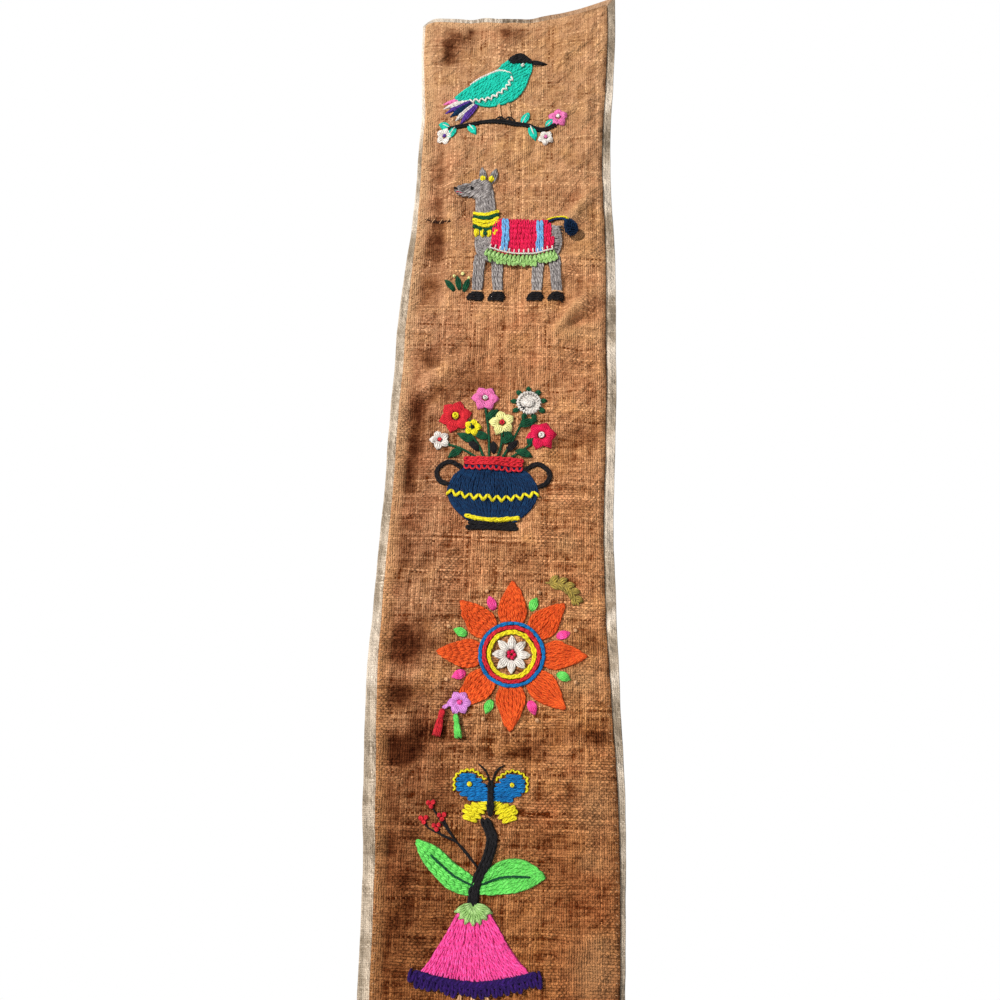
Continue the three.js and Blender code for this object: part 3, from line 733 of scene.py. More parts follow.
    # The gaps between the threads are painted dark: painted shade, deeper where the weave is open.
    open_weave = left_foot * 0.5 + z.span(-40, -620, 0.35, 1.6)
    gap_shade = n.math("MULTIPLY", height.span(0.1, 0.55, 0.45, 0.0), open_weave, clamp=True)
    relief = (height + fibre * 0.5 + fuzz * 1.4 + streak * 1.3) * (open_weave * 1.6 + 0.22) + crumple * 9.0
    return n.finish(relief, 0.0006, {
        "Base Color": n.tint(gap_shade, colour, (0.24, 0.14, 0.07)),
        "Roughness": height.span(0, 1, 0.98, 0.86),
        "Specular IOR Level": 0.04,
    })


def backing_cloth():
    n = Nodes("backing_cloth")
    height, tone, fibre = plain_weave(n, warp_step=1.15, weft_step=1.2, wander=1.2, slub=0.16, lead_size=0.12)
    x, z, _ = n.attribute("flat")
    from_edge, past_face, shade = n.attribute("marks")
    # Crumple noise bumps the cloth and, most on the hem, paints it lighter and darker: painted light and
    # shade of its crumples.
    crumple = n.noise((x * 0.75 - z * 0.55, x * 0.3 + z * 0.3, 3.0), 0.17, 4.0, 0.6)
    lively = from_edge.span(0.0, -1.0, 0.3, 1.0)
    tone = tone + fibre.span(0.3, 0.7, -0.2, 0.2) + crumple.span(0.32, 0.68, -0.75, 0.75) * lively
    colour = n.mix(tone.span(0.15, 1.1), linear(163, 146, 125), linear(236, 218, 196))
    grey = n.noise((x, z, 0.0), 0.045, 4.0, 0.6)
    # A groove inside the rolled edge is bumped and painted darker: painted shade.
    groove = from_edge.span(-5.4, -3.8) * from_edge.span(-0.6, -2.2)
    colour = n.mix(grey.span(0.44, 0.7, 0.0, 0.5), colour, linear(150, 134, 115))
    colour = n.mix(groove * 0.35, colour, linear(124, 112, 96))
    # Between the threads the cloth is painted darker: painted shade.
    colour = n.mix(height.span(0.1, 0.6, 0.65, 0.0), colour, linear(112, 96, 78))
    # The crumples and the border table darken the hem, and the table lightens it below 0: painted shade and
    # painted light.
    darker = n.math("ADD", (crumple - 0.5) * (lively * 0.6), shade, clamp=True)
    colour = n.tint(darker, colour, (0.3, 0.27, 0.22))
    colour = n.mix(shade.span(0.0, -0.25, 0.0, 0.75), colour, linear(244, 230, 213))

    # Frayed threads stand across the top edge, dark between light, and the right of it is rubbed brown.
    frayed = n.noise((x, z * 0.12, 17.0), 0.5, 3.0, 0.7)
    top_edge = z.span(-0.5, 0.5)
    thread = frayed.span(0.47, 0.6, 0.0, 0.9) * top_edge * x.span(-55, -25, 0.3, 1.0)
    colour = n.tint(thread, colour, (0.3, 0.26, 0.22))
    colour = n.mix(top_edge * x.span(25, 55, 0.0, 0.7), colour, linear(206, 164, 128))
    # Beside the face's right edge, where its shadow falls, the border is painted warm brown: painted shade.
    colour = n.mix(past_face.span(0.2, 1.6, 0.6, 0.0) * x.span(0, 30), colour, linear(176, 132, 96))
    return n.finish(fibre * 0.4 + height - groove * 1.3 + crumple * lively * 12.0, 0.00045, {
        "Base Color": colour,
        "Roughness": height.span(0, 1, 0.96, 0.84),
        "Sheen Weight": 0.05,
        "Specular IOR Level": 0.2,
    })


# ---------------------------------------------------------------------------------------------------------
# Wool: yarn strands laid on the face in (x, z, height above the cloth)
# ---------------------------------------------------------------------------------------------------------

# The radius of the usual yarn, and how far one strand's differs from another's and along its own run.
YARN = 0.7
YARN_RANGE = (0.88, 1.18)
LUMPINESS = 0.09
SIDES = 6
PLY_PITCH = 2.8
TINY = 1e-9

# Screen colours of each yarn: its main ply and the one twisted with it.
YARNS = {
    "teal": ((32, 214, 188), (18, 178, 156)),
    "white": ((240, 236, 228), (216, 208, 200)),
    "black": ((30, 28, 31), (18, 17, 20)),
    "tan": ((222, 176, 130), (196, 146, 104)),
    "pink": ((236, 128, 186), (222, 104, 168)),
    "purple": ((98, 62, 160), (76, 46, 134)),
    "navy": ((12, 54, 94), (6, 34, 68)),
    "lemon": ((242, 228, 40), (222, 204, 30)),
    "dark_green": ((22, 88, 56), (14, 62, 42)),
    "crimson": ((240, 34, 90), (196, 16, 60)),
    "sky": ((122, 186, 228), (92, 152, 212)),
    "lime": ((176, 214, 140), (132, 180, 96)),
    "grey": ((176, 170, 168), (104, 98, 98)),
    "straw": ((246, 244, 172), (226, 222, 140)),
    "red": ((220, 48, 58), (186, 30, 44)),
    "green": ((120, 228, 108), (88, 200, 82)),
    "hot_pink": ((255, 92, 174), (232, 56, 136)),
    "dark_purple": ((50, 18, 100), (30, 10, 70)),
    "orange": ((240, 98, 38), (198, 66, 20)),
    "blue": ((16, 122, 192), (10, 94, 158)),
    "lilac": ((222, 152, 222), (200, 122, 204)),
    "olive": ((184, 160, 74), (132, 116, 60)),
    "brown": ((74, 42, 26), (48, 26, 18)),
}


def scaled(colour, red, green, blue, more=0.0):
    return tuple(min(1, v * by + more) for v, by in zip(colour, (red, green, blue))) + (1.0,)


def wool_material(colour):
    """Two plies twisted together, with painted shade deep in the pile and between the plies, lighter on loose
    fibres.
    """
    n = Nodes("wool_" + colour)
    along, around, own = n.attribute("strand")
    turn = around * 2.0 + along / PLY_PITCH
    phase = turn * (math.pi * 2)
    ply = n.math("COSINE", phase) * 0.5 + 0.5
    which = n.math("GREATER_THAN", n.math("COSINE", phase * 0.5), 0.0)
    fibre = n.noise((along * 1.6, turn * 9.0, own * 60.0), 1.4, 3.0, 0.6)
    lump_x, lump_z, stands = n.attribute("place")
    lump = n.noise((lump_x, lump_z, 40.0), 0.22, 3.0, 0.6)
    main, second = (linear(*shade) for shade in YARNS[colour])
    shown = main
    for factor, other in (
            (which * 0.8, second),
            (own.span(0, 1, 0.0, 0.6), second),
            (lump.span(0.52, 0.3, 0.0, 0.75), scaled(second, 0.78, 0.74, 0.76)),
            # Low in the pile the yarn is painted darker: painted shade.
            (stands.span(0.9, -0.1, 0.0, 0.6), scaled(second, 0.5, 0.46, 0.48)),
            (fibre.span(0.4, 0.72, 0.0, 0.35), scaled(main, 1.35, 1.35, 1.35, 0.015)),
            # The grooves between the plies are painted darker: painted shade.
            (ply.span(0.0, 0.45, 0.36, 0.0), scaled(second, 0.3, 0.3, 0.3))):
        shown = n.mix(factor, shown, other)
    return n.finish(n.math("POWER", ply, 0.5) + fibre * 0.5, 0.0003, {
        "Base Color": shown,
        "Roughness": fibre.span(0, 1, 0.95, 0.8),
        "Sheen Weight": 0.03,
        "Sheen Roughness": 0.6,
        "Specular IOR Level": 0.12,
    })


MADE_YARNS = {}


def yarn_of(colour):
    if colour not in MADE_YARNS:
        MADE_YARNS[colour] = wool_material(colour)
    return MADE_YARNS[colour]


def on_cloth(x, z, height):
    """Points this high above the draped face."""
    depth = pressed(x, z, FRONT + height) + drape(x, z) + unevenness(x, z)
    return np.stack([x, -depth, z + rise(x, z)], -1)


def tubes(paths, radii, own):
    """Closed six-sided tubes: all points, and each quad's corners and marks."""
    count, rings = radii.shape
    run = np.gradient(paths, axis=1)
    run /= np.linalg.norm(run, axis=-1, keepdims=True) + TINY
    out = np.empty_like(paths)
    side = np.cross(run[:, 0], [0.0, 0.0, 1.0]) + np.array([1e-5, 0, 0])
    for i in range(rings):
        side = side - np.sum(side * run[:, i], -1, keepdims=True) * run[:, i]
        side /= np.linalg.norm(side, axis=-1, keepdims=True) + TINY
        out[:, i] = side
    third = np.cross(run, out)
    angle = 2 * np.pi * np.arange(SIDES) / SIDES
    ring = out[:, :, None] * np.cos(angle)[:, None] + third[:, :, None] * np.sin(angle)[:, None]
    points = paths[:, :, None] + radii[:, :, None, None] * ring

    lengths = np.cumsum(np.linalg.norm(np.diff(paths, axis=1), axis=-1), 1)
    along = np.concatenate([np.zeros((count, 1)), lengths], 1)
    i, k = (grid.ravel() for grid in np.meshgrid(np.arange(rings - 1), np.arange(SIDES), indexing="ij"))
    next_k = (k + 1) % SIDES
    wall = np.stack([i * SIDES + k, i * SIDES + next_k, (i + 1) * SIDES + next_k, (i + 1) * SIDES + k], -1)
    first, last = [[3, 2, 1, 0], [5, 4, 3, 0]], [[0, 1, 2, 3], [0, 3, 4, 5]]
    caps = np.concatenate([first, (rings - 1) * SIDES + np.array(last)])
    quads = np.concatenate([wall, caps])
    ring_of = np.concatenate([np.stack([i, i, i + 1, i + 1], -1), caps // SIDES])
    side_of = np.concatenate([np.stack([k, k + 1, k + 1, k], -1), caps % SIDES])
    marks = np.stack(np.broadcast_arrays(along[:, ring_of], side_of / SIDES, own[:, None, None]), -1)
    start = np.arange(count)[:, None, None] * rings * SIDES
    return points.reshape(-1, 3), (quads + start).reshape(-1, 4), marks.reshape(-1, 3)


CURVE_STEP = 0.9


def smooth(points, closed=False):
    """A smooth polyline through a few points."""
    p = np.array(points, float)
    ring = np.vstack([p[-1], p, p[:2]]) if closed else np.vstack([2 * p[0] - p[1], p, 2 * p[-1] - p[-2]])
    parts = []
    for a, b, c, d in zip(ring, ring[1:], ring[2:], ring[3:]):
        count = max(int(np.linalg.norm(c - b) / CURVE_STEP), 1)
        t = (np.arange(count) / count)[:, None]
        square, cube = 2 * a - 5 * b + 4 * c - d, 3 * b - a - 3 * c + d
        parts.append(0.5 * (2 * b + (c - a) * t + square * t**2 + cube * t**3))
    parts.append(ring[-2][None])
    return np.vstack(parts)


def rounded(points):
    return smooth(points, closed=True)


def heading(degrees):
    return np.array([math.cos(math.radians(degrees)), math.sin(math.radians(degrees))])


def unit(vector):
    return vector / (np.linalg.norm(vector) + TINY)


def to_left(vector):
    """The vector turned a quarter to the left."""
    return np.array([-vector[1], vector[0]])


def turned_points(points, degrees):
    """The points turned about the motif's middle."""
    ahead = heading(degrees)
    return np.array(points, float) @ np.array([ahead, to_left(ahead)])


def mirrored(points):
    return np.array(points, float) * np.array([-1, 1])


class Line:
    """A polyline that can be asked for its place and direction at a distance along it."""

    def __init__(self, points):
        self.points = np.array(points, float)
        steps = np.linalg.norm(np.diff(self.points, axis=0), axis=1)
        self.along = np.concatenate([[0], np.cumsum(steps)])
        self.length = self.along[-1]

    def at(self, s):
        return np.stack([np.interp(s, self.along, self.points[:, i]) for i in range(2)], -1)

    def aside(self, s):
        """The unit vector to the left of the line's direction."""
        return to_left(unit(self.at(min(s + 0.3, self.length)) - self.at(max(s - 0.3, 0))))


def rows_across(shape, degrees, spacing, first=0.5):
    """The straight rows that fill a closed shape, as pairs of end points.

    first: how far in the first row lies, in spacings."""
    turn = heading(degrees)
    across = to_left(turn)
    u, v = shape @ turn, shape @ across
    count = max(int(round((v.max() - v.min()) / spacing)), 1)
    rows = []
    for k in range(count):
        row = v.min() + (k + first) * (v.max() - v.min()) / count
        hit = np.nonzero((v[:-1] - row) * (v[1:] - row) < 0)[0]
        cuts = np.sort(u[hit] + (u[hit + 1] - u[hit]) * (row - v[hit]) / (v[hit + 1] - v[hit]))
        rows += [(a * turn + row * across, b * turn + row * across) for a, b in zip(cuts[::2], cuts[1::2])]
    return rows


LINK_TURN = 2 * np.pi * np.linspace(0, 1, 15)
LINK_LAP = 0.22
ROW_LAP = 1.08
LONGEST_SATIN = 9.0
GUIDE_POINTS = 30


class Wool:
    """The stitches of one colour in one motif, which become one piece."""

    def __init__(self, name, colour, at, seed):
        self.name, self.colour, self.at = name, colour, np.array([at[0], at[1], 0.0])
        self.random = np.random.default_rng(seed)
        self.strands = {}

    def jitter(self, size):
        return self.random.uniform(-size, size)

    def strand(self, path, radius, ends=0.7):
        path = np.array(path, float)
        uneven = 1 + LUMPINESS * np.sin(np.linspace(0, 5, len(path)) + self.random.uniform(0, 6.3))
        radii = radius * self.random.uniform(*YARN_RANGE) * uneven
        radii[[0, -1]] *= ends
        self.strands.setdefault(len(path), []).append((path, radii, self.random.random()))

    def laid(self, place, height, radius, ends=0.7):
        """A strand whose places and heights are given apart."""
        self.strand(np.column_stack([place, np.broadcast_to(height, len(place))]), radius, ends)

    def stitch(self, start, end, base, pad, radius=YARN, bow=0.0):
        """One straight stitch that comes out of the cloth, lies on it and goes back in."""
        start, end = np.array(start, float), np.array(end, float)
        t = np.linspace(0, 1, 7)
        span = end - start
        place = start + span * t[:, None] + to_left(unit(span)) * (bow * np.sin(np.pi * t))[:, None]
        self.laid(place, base + radius * (1 - 1.7 * (2 * t - 1) ** 6) + pad * np.sin(np.pi * t), radius)

    def stitches(self, points, longest, base, radius, pad=0.25):
        """Back stitches, end to end along a line."""
        line = Line(points)
        cuts = spaced(line.length, longest)
        for a, b in zip(cuts, cuts[1:]):
            self.stitch(line.at(a), line.at(b), base, pad, radius)

    def stem(self, points, base=0.0, radius=YARN, step=2.3, length=4.6):
        """Stem stitch: slanted stitches that overlap like a rope."""
        line = Line(points)
        lean = radius * 0.55
        for a in spaced(max(line.length - length, 0.1), step):
            b = min(a + length, line.length)
            start, end = line.at(a) + line.aside(a) * lean, line.at(b) - line.aside(b) * lean
            self.stitch(start, end, base, 0.4, radius)

    def chain(self, points, width, link=4.1, base=0.0, radius=YARN):
        """Chain stitch along a line. width is a number, or one for each of the line's points."""
        line = Line(points)
        widths = np.broadcast_to(width, len(line.points))
        if line.length > 3:
            wide = 0.47 * float(np.mean(widths))
            under = line.at(np.linspace(0.9, line.length - 0.9, max(int(line.length / 2.5), 3)))
            self.laid(under, base + 2.0 * radius - wide, wide, 0.45)
        cuts = spaced(line.length, link)
        cuts[1:-1] += self.random.uniform(-0.13, 0.13, len(cuts) - 2) * link
        for a, b in zip(cuts, cuts[1:]):
            wide = np.interp((a + b) / 2, line.along, widths) * self.random.uniform(0.88, 1.12)
            start, end = line.at(a), line.at(min(b + LINK_LAP * link, line.length))
            self.link(start, end, wide, base, radius)

    def link(self, start, end, width, base, radius):
        """One loop of a chain, caught down at its start by the loop before."""
        span = end - start
        ahead = (1 - np.cos(LINK_TURN)) / 2
        half = max(width / 2 - radius, 0.3) * self.random.uniform(0.8, 1.22)
        spread = np.sin(LINK_TURN) * (0.62 + 0.5 * ahead) * half + self.jitter(0.28)
        over = np.exp(-(((ahead - 0.13) / 0.12) ** 2))
        puff = self.random.uniform(0.15, 0.6)
        height = base + radius * (1.0 + 1.1 * over - 2.6 * (ahead < 0.01)) + puff * np.sin(np.pi * ahead)
        self.laid(start + span * ahead[:, None] + to_left(unit(span)) * spread[:, None], height, radius, 0.8)

    def pad(self, path, base=0.0):
        """A long low strand that fills the furrow between two rows of chain."""
        self.laid(path, base + 0.5 * YARN, 1.1 * YARN, 0.5)

    def chain_fill(self, shape, degrees, spacing=2.75, base=0.0):
        for start, end in rows_across(shape, degrees, spacing, 1.0):
            if np.linalg.norm(end - start) > 4:
                self.pad(np.linspace(start, end, 10)[1:-1], base)
        for start, end in rows_across(shape, degrees, spacing):
            if np.linalg.norm(end - start) > 1.6:
                bend = np.linspace(start, end, 6)
                bend[1:-1] += self.random.uniform(-0.28, 0.28, (4, 2))
                self.chain(bend, spacing * ROW_LAP, base=base)

    def chain_between(self, guides, spacing=2.8, link=4.2):
        """Chain rows that run along two or more guide lines and spread evenly between them.

        Where the guides draw together, every other row stops and its neighbours take its room."""
        lines = [Line(guide) for guide in guides]
        runs = np.stack([line.at(np.linspace(0, line.length, GUIDE_POINTS)) for line in lines])
        wide = np.linalg.norm(np.diff(runs, axis=0), axis=-1).sum(0)
        count = max(int(round(wide.max() / spacing)), 1)
        count += 1 - count % 2
        each = wide / count
        narrow = each < 2.5 * YARN

        def run_at(share):
            t = share * (len(runs) - 1)
            i = min(int(t), len(runs) - 2)
            return runs[i] + (runs[i + 1] - runs[i]) * (t - i)

        for k in range(count):
            row = run_at((k + 0.5) / count)
            widths = np.where(narrow, np.minimum(2 * each, spacing), each) * ROW_LAP
            if k % 2 and narrow.any():
                first = max(int(np.argmin(narrow)) + int(self.random.integers(-4, 1)), 0)
                row, widths = row[first:], widths[first:]
            if len(row) > 2:
                self.chain(self.ragged(row), np.maximum(widths, 2.4 * YARN), link)
            if k < count - 1:
                self.pad(run_at((k + 1) / count)[2:-1])

    def ragged(self, row):
        """A row as a hand would work it: its ends not quite in line, its run a little wavy."""
        row = np.array(row)
        along = np.linspace(0, 1, len(row))[:, None]
        head, tail = unit(row[0] - row[1]), unit(row[-1] - row[-2])
        row += head * self.jitter(0.7) * (1 - along) ** 3 + tail * self.jitter(0.7) * along**3
        turn = 2 * np.pi * (along * self.random.uniform(1.2, 2.4) + self.random.random())
        return row + to_left(tail) * (0.22 * np.sin(turn) * np.sin(np.pi * along))

    def satin_fill(self, shape, degrees, spacing=1.2, base=0.0, pad=0.4):
        """Long-and-short stitches in rows across a closed shape."""
        for start, end in rows_across(shape, degrees, spacing):
            length = np.linalg.norm(end - start)
            pieces = max(int(math.ceil(length / LONGEST_SATIN)), 1)
            cuts = np.linspace(0, 1, pieces + 1)
            cuts[1:-1] += self.random.uniform(-0.22, 0.22, pieces - 1) / pieces
            lap = 0.5 / max(length, 1)
            for a, b in zip(cuts, cuts[1:]):
                near, far = (start + (end - start) * share for share in (max(a - lap, 0), min(b + lap, 1)))
                self.stitch(near, far, base, pad)

    def leaf(self, start, degrees, length, width, base=0.0):
        """Stitches from one point to another that swell apart in the middle."""
        start, run = np.array(start, float), length * heading(degrees)
        half = max(width / 2 - YARN, 0)
        for k in np.linspace(-1, 1, max(int(round(width / (1.7 * YARN))), 2)):
            shift = to_left(run) / length * k * YARN * 0.5
            pad = 0.35 + 0.7 * (1 - k * k)
            end = start + run * (1 - 0.1 * k * k)
            self.stitch(start + shift, end + shift, base, pad, bow=k * half)

    def knot(self, place, size, base=0.0, radius=YARN):
        """A French knot: yarn wound round and pulled down into its middle."""
        t = np.linspace(0, 1, 16)
        angle = 2 * np.pi * (1.9 * t + self.random.random())
        out = np.maximum(size / 2 - radius, 0.35) * np.sin(np.pi * np.clip(t * 1.02, 0, 1)) ** 0.4
        out[-1] = 0.05
        height = base + radius * 0.6 + t * size * 0.42
        height[0] = base - radius
        height[-1] = base + radius
        around = np.column_stack([place[0] + out * np.cos(angle), place[1] + out * np.sin(angle)])
        self.laid(around, height, radius, 0.8)

    def zigzag(self, points, size, pitch, base, radius):
        line = Line(points)
        cuts = spaced(line.length, pitch / 2)
        corners = [line.at(s) + line.aside(s) * size / 2 * (1 if i % 2 else -1) for i, s in enumerate(cuts)]
        for a, b in zip(corners, corners[1:]):
            self.stitch(a, b, base, 0.4, radius)

    def blanket(self, points, depth, spacing, base, radius):
        """Blanket stitch: prongs to the left of the line and a thread along it."""
        line = Line(points)
        cuts = spaced(line.length, spacing)
        for a, b in zip(cuts, cuts[1:]):
            self.stitch(line.at(a), line.at(b), base + 0.3, 0.2, radius)
        for s in cuts:
            deep = depth * self.random.uniform(0.85, 1.15)
            self.stitch(line.at(s), line.at(s) + line.aside(s) * deep, base, 0.4, radius)

    def loops(self, points, length, spacing, lean=0.0, base=0.0, radius=YARN):
        """Loose loops that hang to the right of a line."""
        line = Line(points)
        t = np.linspace(0, 1, 11)
        reach, spread = np.sin(np.pi * t) ** 0.75, -np.cos(np.pi * t) * spacing * 0.42
        height = base + radius * (0.4 + 1.3 * reach) + 0.7 * np.sin(np.pi * reach * 0.8)
        for s in spaced(line.length, spacing):
            out = -line.aside(s)
            far = length * self.random.uniform(0.85, 1.15)
            sideways = spread + (lean + self.jitter(0.7)) * reach
            place = line.at(s) + out * (reach * far)[:, None] + to_left(out) * sideways[:, None]
            self.laid(place, height, radius, 0.8)

    def ring(self, size, width, link, base):
        angle = np.linspace(0, 2 * np.pi, 60)
        self.chain(np.column_stack([size * np.cos(angle), size * np.sin(angle)]), width, link, base)

    def make(self):
        points, quads, marks, count = [], [], [], 0
        for rings, group in sorted(self.strands.items()):
            paths, radii, own = (np.stack(values) for values in zip(*group))
            p, q, m = tubes(paths + self.at, radii, own)
            points.append(p)
            quads.append(q + count)
            marks.append(m)
            count += len(p)
        place = np.concatenate(points)
        laid = on_cloth(place[:, 0], place[:, 1], place[:, 2])
        return to_mesh(self.name, laid, np.concatenate(quads), yarn_of(self.colour), {"place": place}, {
            "strand": np.concatenate(marks)})


# ---------------------------------------------------------------------------------------------------------
# Motifs: generic designs, each drawn round its own middle
# ---------------------------------------------------------------------------------------------------------


class Motif:
    """One embroidered motif, its middle at a place on the face."""

    def __init__(self, name, x, z, seed):
        self.name, self.at, self.seed = name, (x, z), seed
        self.wools = {}

    def __getitem__(self, colour):
        """The motif's wool of one colour, begun when it is first asked for."""
        if colour not in self.wools:
            self.wools[colour] = Wool(f"{self.name}_{colour}", colour, self.at, self.seed + len(self.wools))
        return self.wools[colour]

    def make(self):
        return [wool.make() for wool in self.wools.values()]


def flower(m, colour, x, z, size, petals, middle, turn, base=0.0):
    """Padded petals round a knot."""
    for k in range(petals):
        degrees = turn + 360 * k / petals
        start = np.array([x, z]) + heading(degrees) * size * 0.2
        m[colour].leaf(start, degrees, size * 0.8, size * 0.72, base)
    m[middle].knot((x, z), size * 0.42, base + 1.2)


def bird():
    """A songbird on a branch."""
    m = Motif("bird", -12, -71, 100)
    body = rounded([(-21, -6), (-14, 6), (-4, 14), (4, 23), (11, 30), (19, 32), (25, 28), (26.5, 21),
                    (24, 12), (21, 2), (13, -8), (1, -13.5), (-11, -13), (-19, -10)])
    m["teal"].chain_fill(body, 38)
    m["teal"].stem(body)
    wing = rounded([(11, 14), (3, 17), (-8, 12), (-20, 2), (-31, -9), (-19, -9), (-5, -6), (7, 2)])
    m["teal"].chain_fill(wing, 40, base=1.3)
    m["teal"].stem(wing, 1.0)
    m["white"].zigzag(smooth([(12, 11), (6, 0), (-6, -8), (-20, -11)]), 3.2, 4.6, 1.8, 0.7)
    m["white"].stem(smooth([(11, 15.5), (3, 18.5), (-8, 13.5), (-20, 3.5)]), 1.2)
    cap = rounded([(8, 28), (13, 33.5), (20, 34.5), (26, 29), (27, 25), (20, 26.5), (13, 25.5)])
    m["black"].satin_fill(cap, 12, base=1.2, pad=0.7)
    for start, end in (((25, 27.5), (37, 24.6)), ((25.5, 25.6), (38, 24.2)), ((25, 23.6), (36, 23.6))):
        m["black"].stitch(start, end, 0.5, 0.5, 0.72)
    m["white"].knot((19.5, 24), 3.0, 1.6)
    m["black"].knot((19.8, 24), 1.4, 2.6, 0.5)
    for i, colour in enumerate(("pink", "white", "purple", "navy", "white", "purple")):
        m[colour].leaf((-17 + 0.7 * i, -6 - 1.0 * i), 196 + 8 * i, 27 - 1.3 * abs(i - 2), 4.6, 0.25 * (i % 2))
    for x in (2, 9):
        m["tan"].chain([(x, -12), (x + 1.5, -26)], 3.0, 4.0)
        for toe in (-4, 0, 4):
            m["black"].stitch((x + 1.5, -25), (x + 1.5 + toe, -29.5 + abs(toe) * 0.3), 1.0, 0.3, 0.55)
    branch = smooth([(-37, -36), (-20, -30), (0, -28), (18, -30), (34, -35), (46, -31)])
    m["black"].stem(branch, radius=0.78)
    m["black"].stem(branch - [0, 1.7], radius=0.7)
    for x, z, degrees, length in ((-30, -34, 242, 12), (-20, -31, 300, 11), (20, -31, 62, 11),
                                  (26, -33, -70, 13), (-34, -35, 160, 9), (38, -33, 40, 8)):
        m["teal"].leaf((x, z), degrees, length, 5.6)
        m["white"].stitch((x, z), np.array([x, z]) + 0.75 * length * heading(degrees), 1.5, 0.3, 0.42)
    flower(m, "pink", 47, -26, 7.5, 5, "white", 20)
    flower(m, "white", -38, -41, 6.5, 5, "purple", 0)
    flower(m, "white", 38, -43, 6.0, 5, "pink", 50)
    return m.make()


def llama():
    """A llama under a fringed blanket."""
    m = Motif("llama", 4, -205, 200)
    grey = m["grey"]
    head = rounded([(-17, 50), (-24, 54.5), (-32, 52.5), (-41, 48.5), (-44.5, 44.5), (-41, 41), (-32, 40.5),
                    (-27, 38), (-18, 40)])
    grey.chain_between([smooth([(-29, 42), (-28.5, 26), (-28, 8), (-25, -6)]),
                        smooth([(-16, 46), (-14, 30), (-12, 16), (-8, 6)])])
    body = rounded([(-27, 10), (-27, -3), (-22, -12), (-6, -14), (12, -13.5), (28, -11), (34, 0),
                    (32.5, 11), (24, 17), (6, 15.5), (-12, 15), (-22, 15)])
    grey.chain_fill(body, 4)
    grey.stem(body)
    grey.satin_fill(head, 14, base=0.4, pad=0.7)
    for x, lean in ((-24, -1.5), (-12, 1.5), (18, -1), (29, 3)):
        low, high = x - 3.4 + lean, x + 3.4 + lean
        grey.chain_between([[(x - 4.5, -9), (low, -38)], [(x + 4.5, -9), (high, -38)]], 2.9)
        hoof = rounded([(low - 1, -37.5), (high + 0.6, -37.5), (high + 0.4, -43), (low - 3.4, -43)])
        m["black"].satin_fill(hoof, 0, 1.25, base=0.5)
        m["tan"].stitches([(low - 0.6, -36.4), (high + 0.6, -36.4)], 3.2, 1.0, 0.6)
    for x, degrees in ((-23, 98), (-17.5, 76)):
        grey.leaf((x, 51), degrees, 14, 4.8, 0.3)
        m["lemon"].leaf((x - 0.6, 52), degrees, 5, 3.4, 1.2)
    m["black"].knot((-32, 47.5), 2.4, 1.7)
    m["black"].stitch((-45, 45.5), (-42, 44.5), 1.2, 0.4, 0.7)
    m["crimson"].stitch((-43, 42.6), (-37, 43), 1.2, 0.3, 0.45)
    grey.loops([(35, 13), (34.5, 2)], 8, 2.2)
    blanket = rounded([(-14, 19), (-4, 19.5), (8, 19.5), (24, 20), (27.5, 8), (27, -5), (8, -8), (-13, -7),
                       (-16, 6)])
    m["crimson"].chain_fill(blanket, 86, base=1.4)
    for x in (-8, -5.3, 17, 19.7):
        m["sky"].chain(smooth([(x, 19), (x + 0.6, 6), (x, -6.5)]), 2.9, 4.0, 2.5)
    hem = smooth([(-17, -6), (-4, -8.5), (12, -9), (28, -6)])
    m["lime"].loops(hem, 7.5, 2.5, 2.2, 1.2, 0.85)
    m["lime"].loops(hem + [0, 0.6], 6.0, 2.9, -1.4, 2.0, 0.8)
    m["white"].blanket(hem + [0, 1.0], 3.6, 3.4, 2.7, 0.55)
    for z, colour in ((27, "lemon"), (24, "dark_green"), (21, "lemon"), (18, "lemon"), (15, "dark_green")):
        m[colour].chain(smooth([(-30, z), (-21, z - 2.5), (-11.5, z + 1)]), 3.0, 3.6, 1.4)
    for x in (-27, -22.5, -18, -13.5):
        m["lemon"].leaf((x, 13.5), -94, 7, 3.2, 1.4)
    m["dark_green"].knot((-21, 9.5), 3.4, 2.2)
    m["navy"].stem(smooth([(24, 19), (31, 21.5), (37, 18.5), (41, 13.5)]), 0.8, 0.7)
    m["lemon"].stem(smooth([(22, 20.5), (31, 24), (38, 20.5), (42.5, 15)]), 0.4, 0.6)
    for x, z, degrees in ((-38, -36, 100), (-35, -37, 70), (-41.5, -37, 130)):
        m["dark_green"].leaf((x, z), degrees, 11, 3.6)
    for x, z, size in ((-36, -24, 2.8), (-42, -26, 2.4), (-31.5, -27, 2.4)):
        m["straw"].knot((x, z), size)
    return m.make()


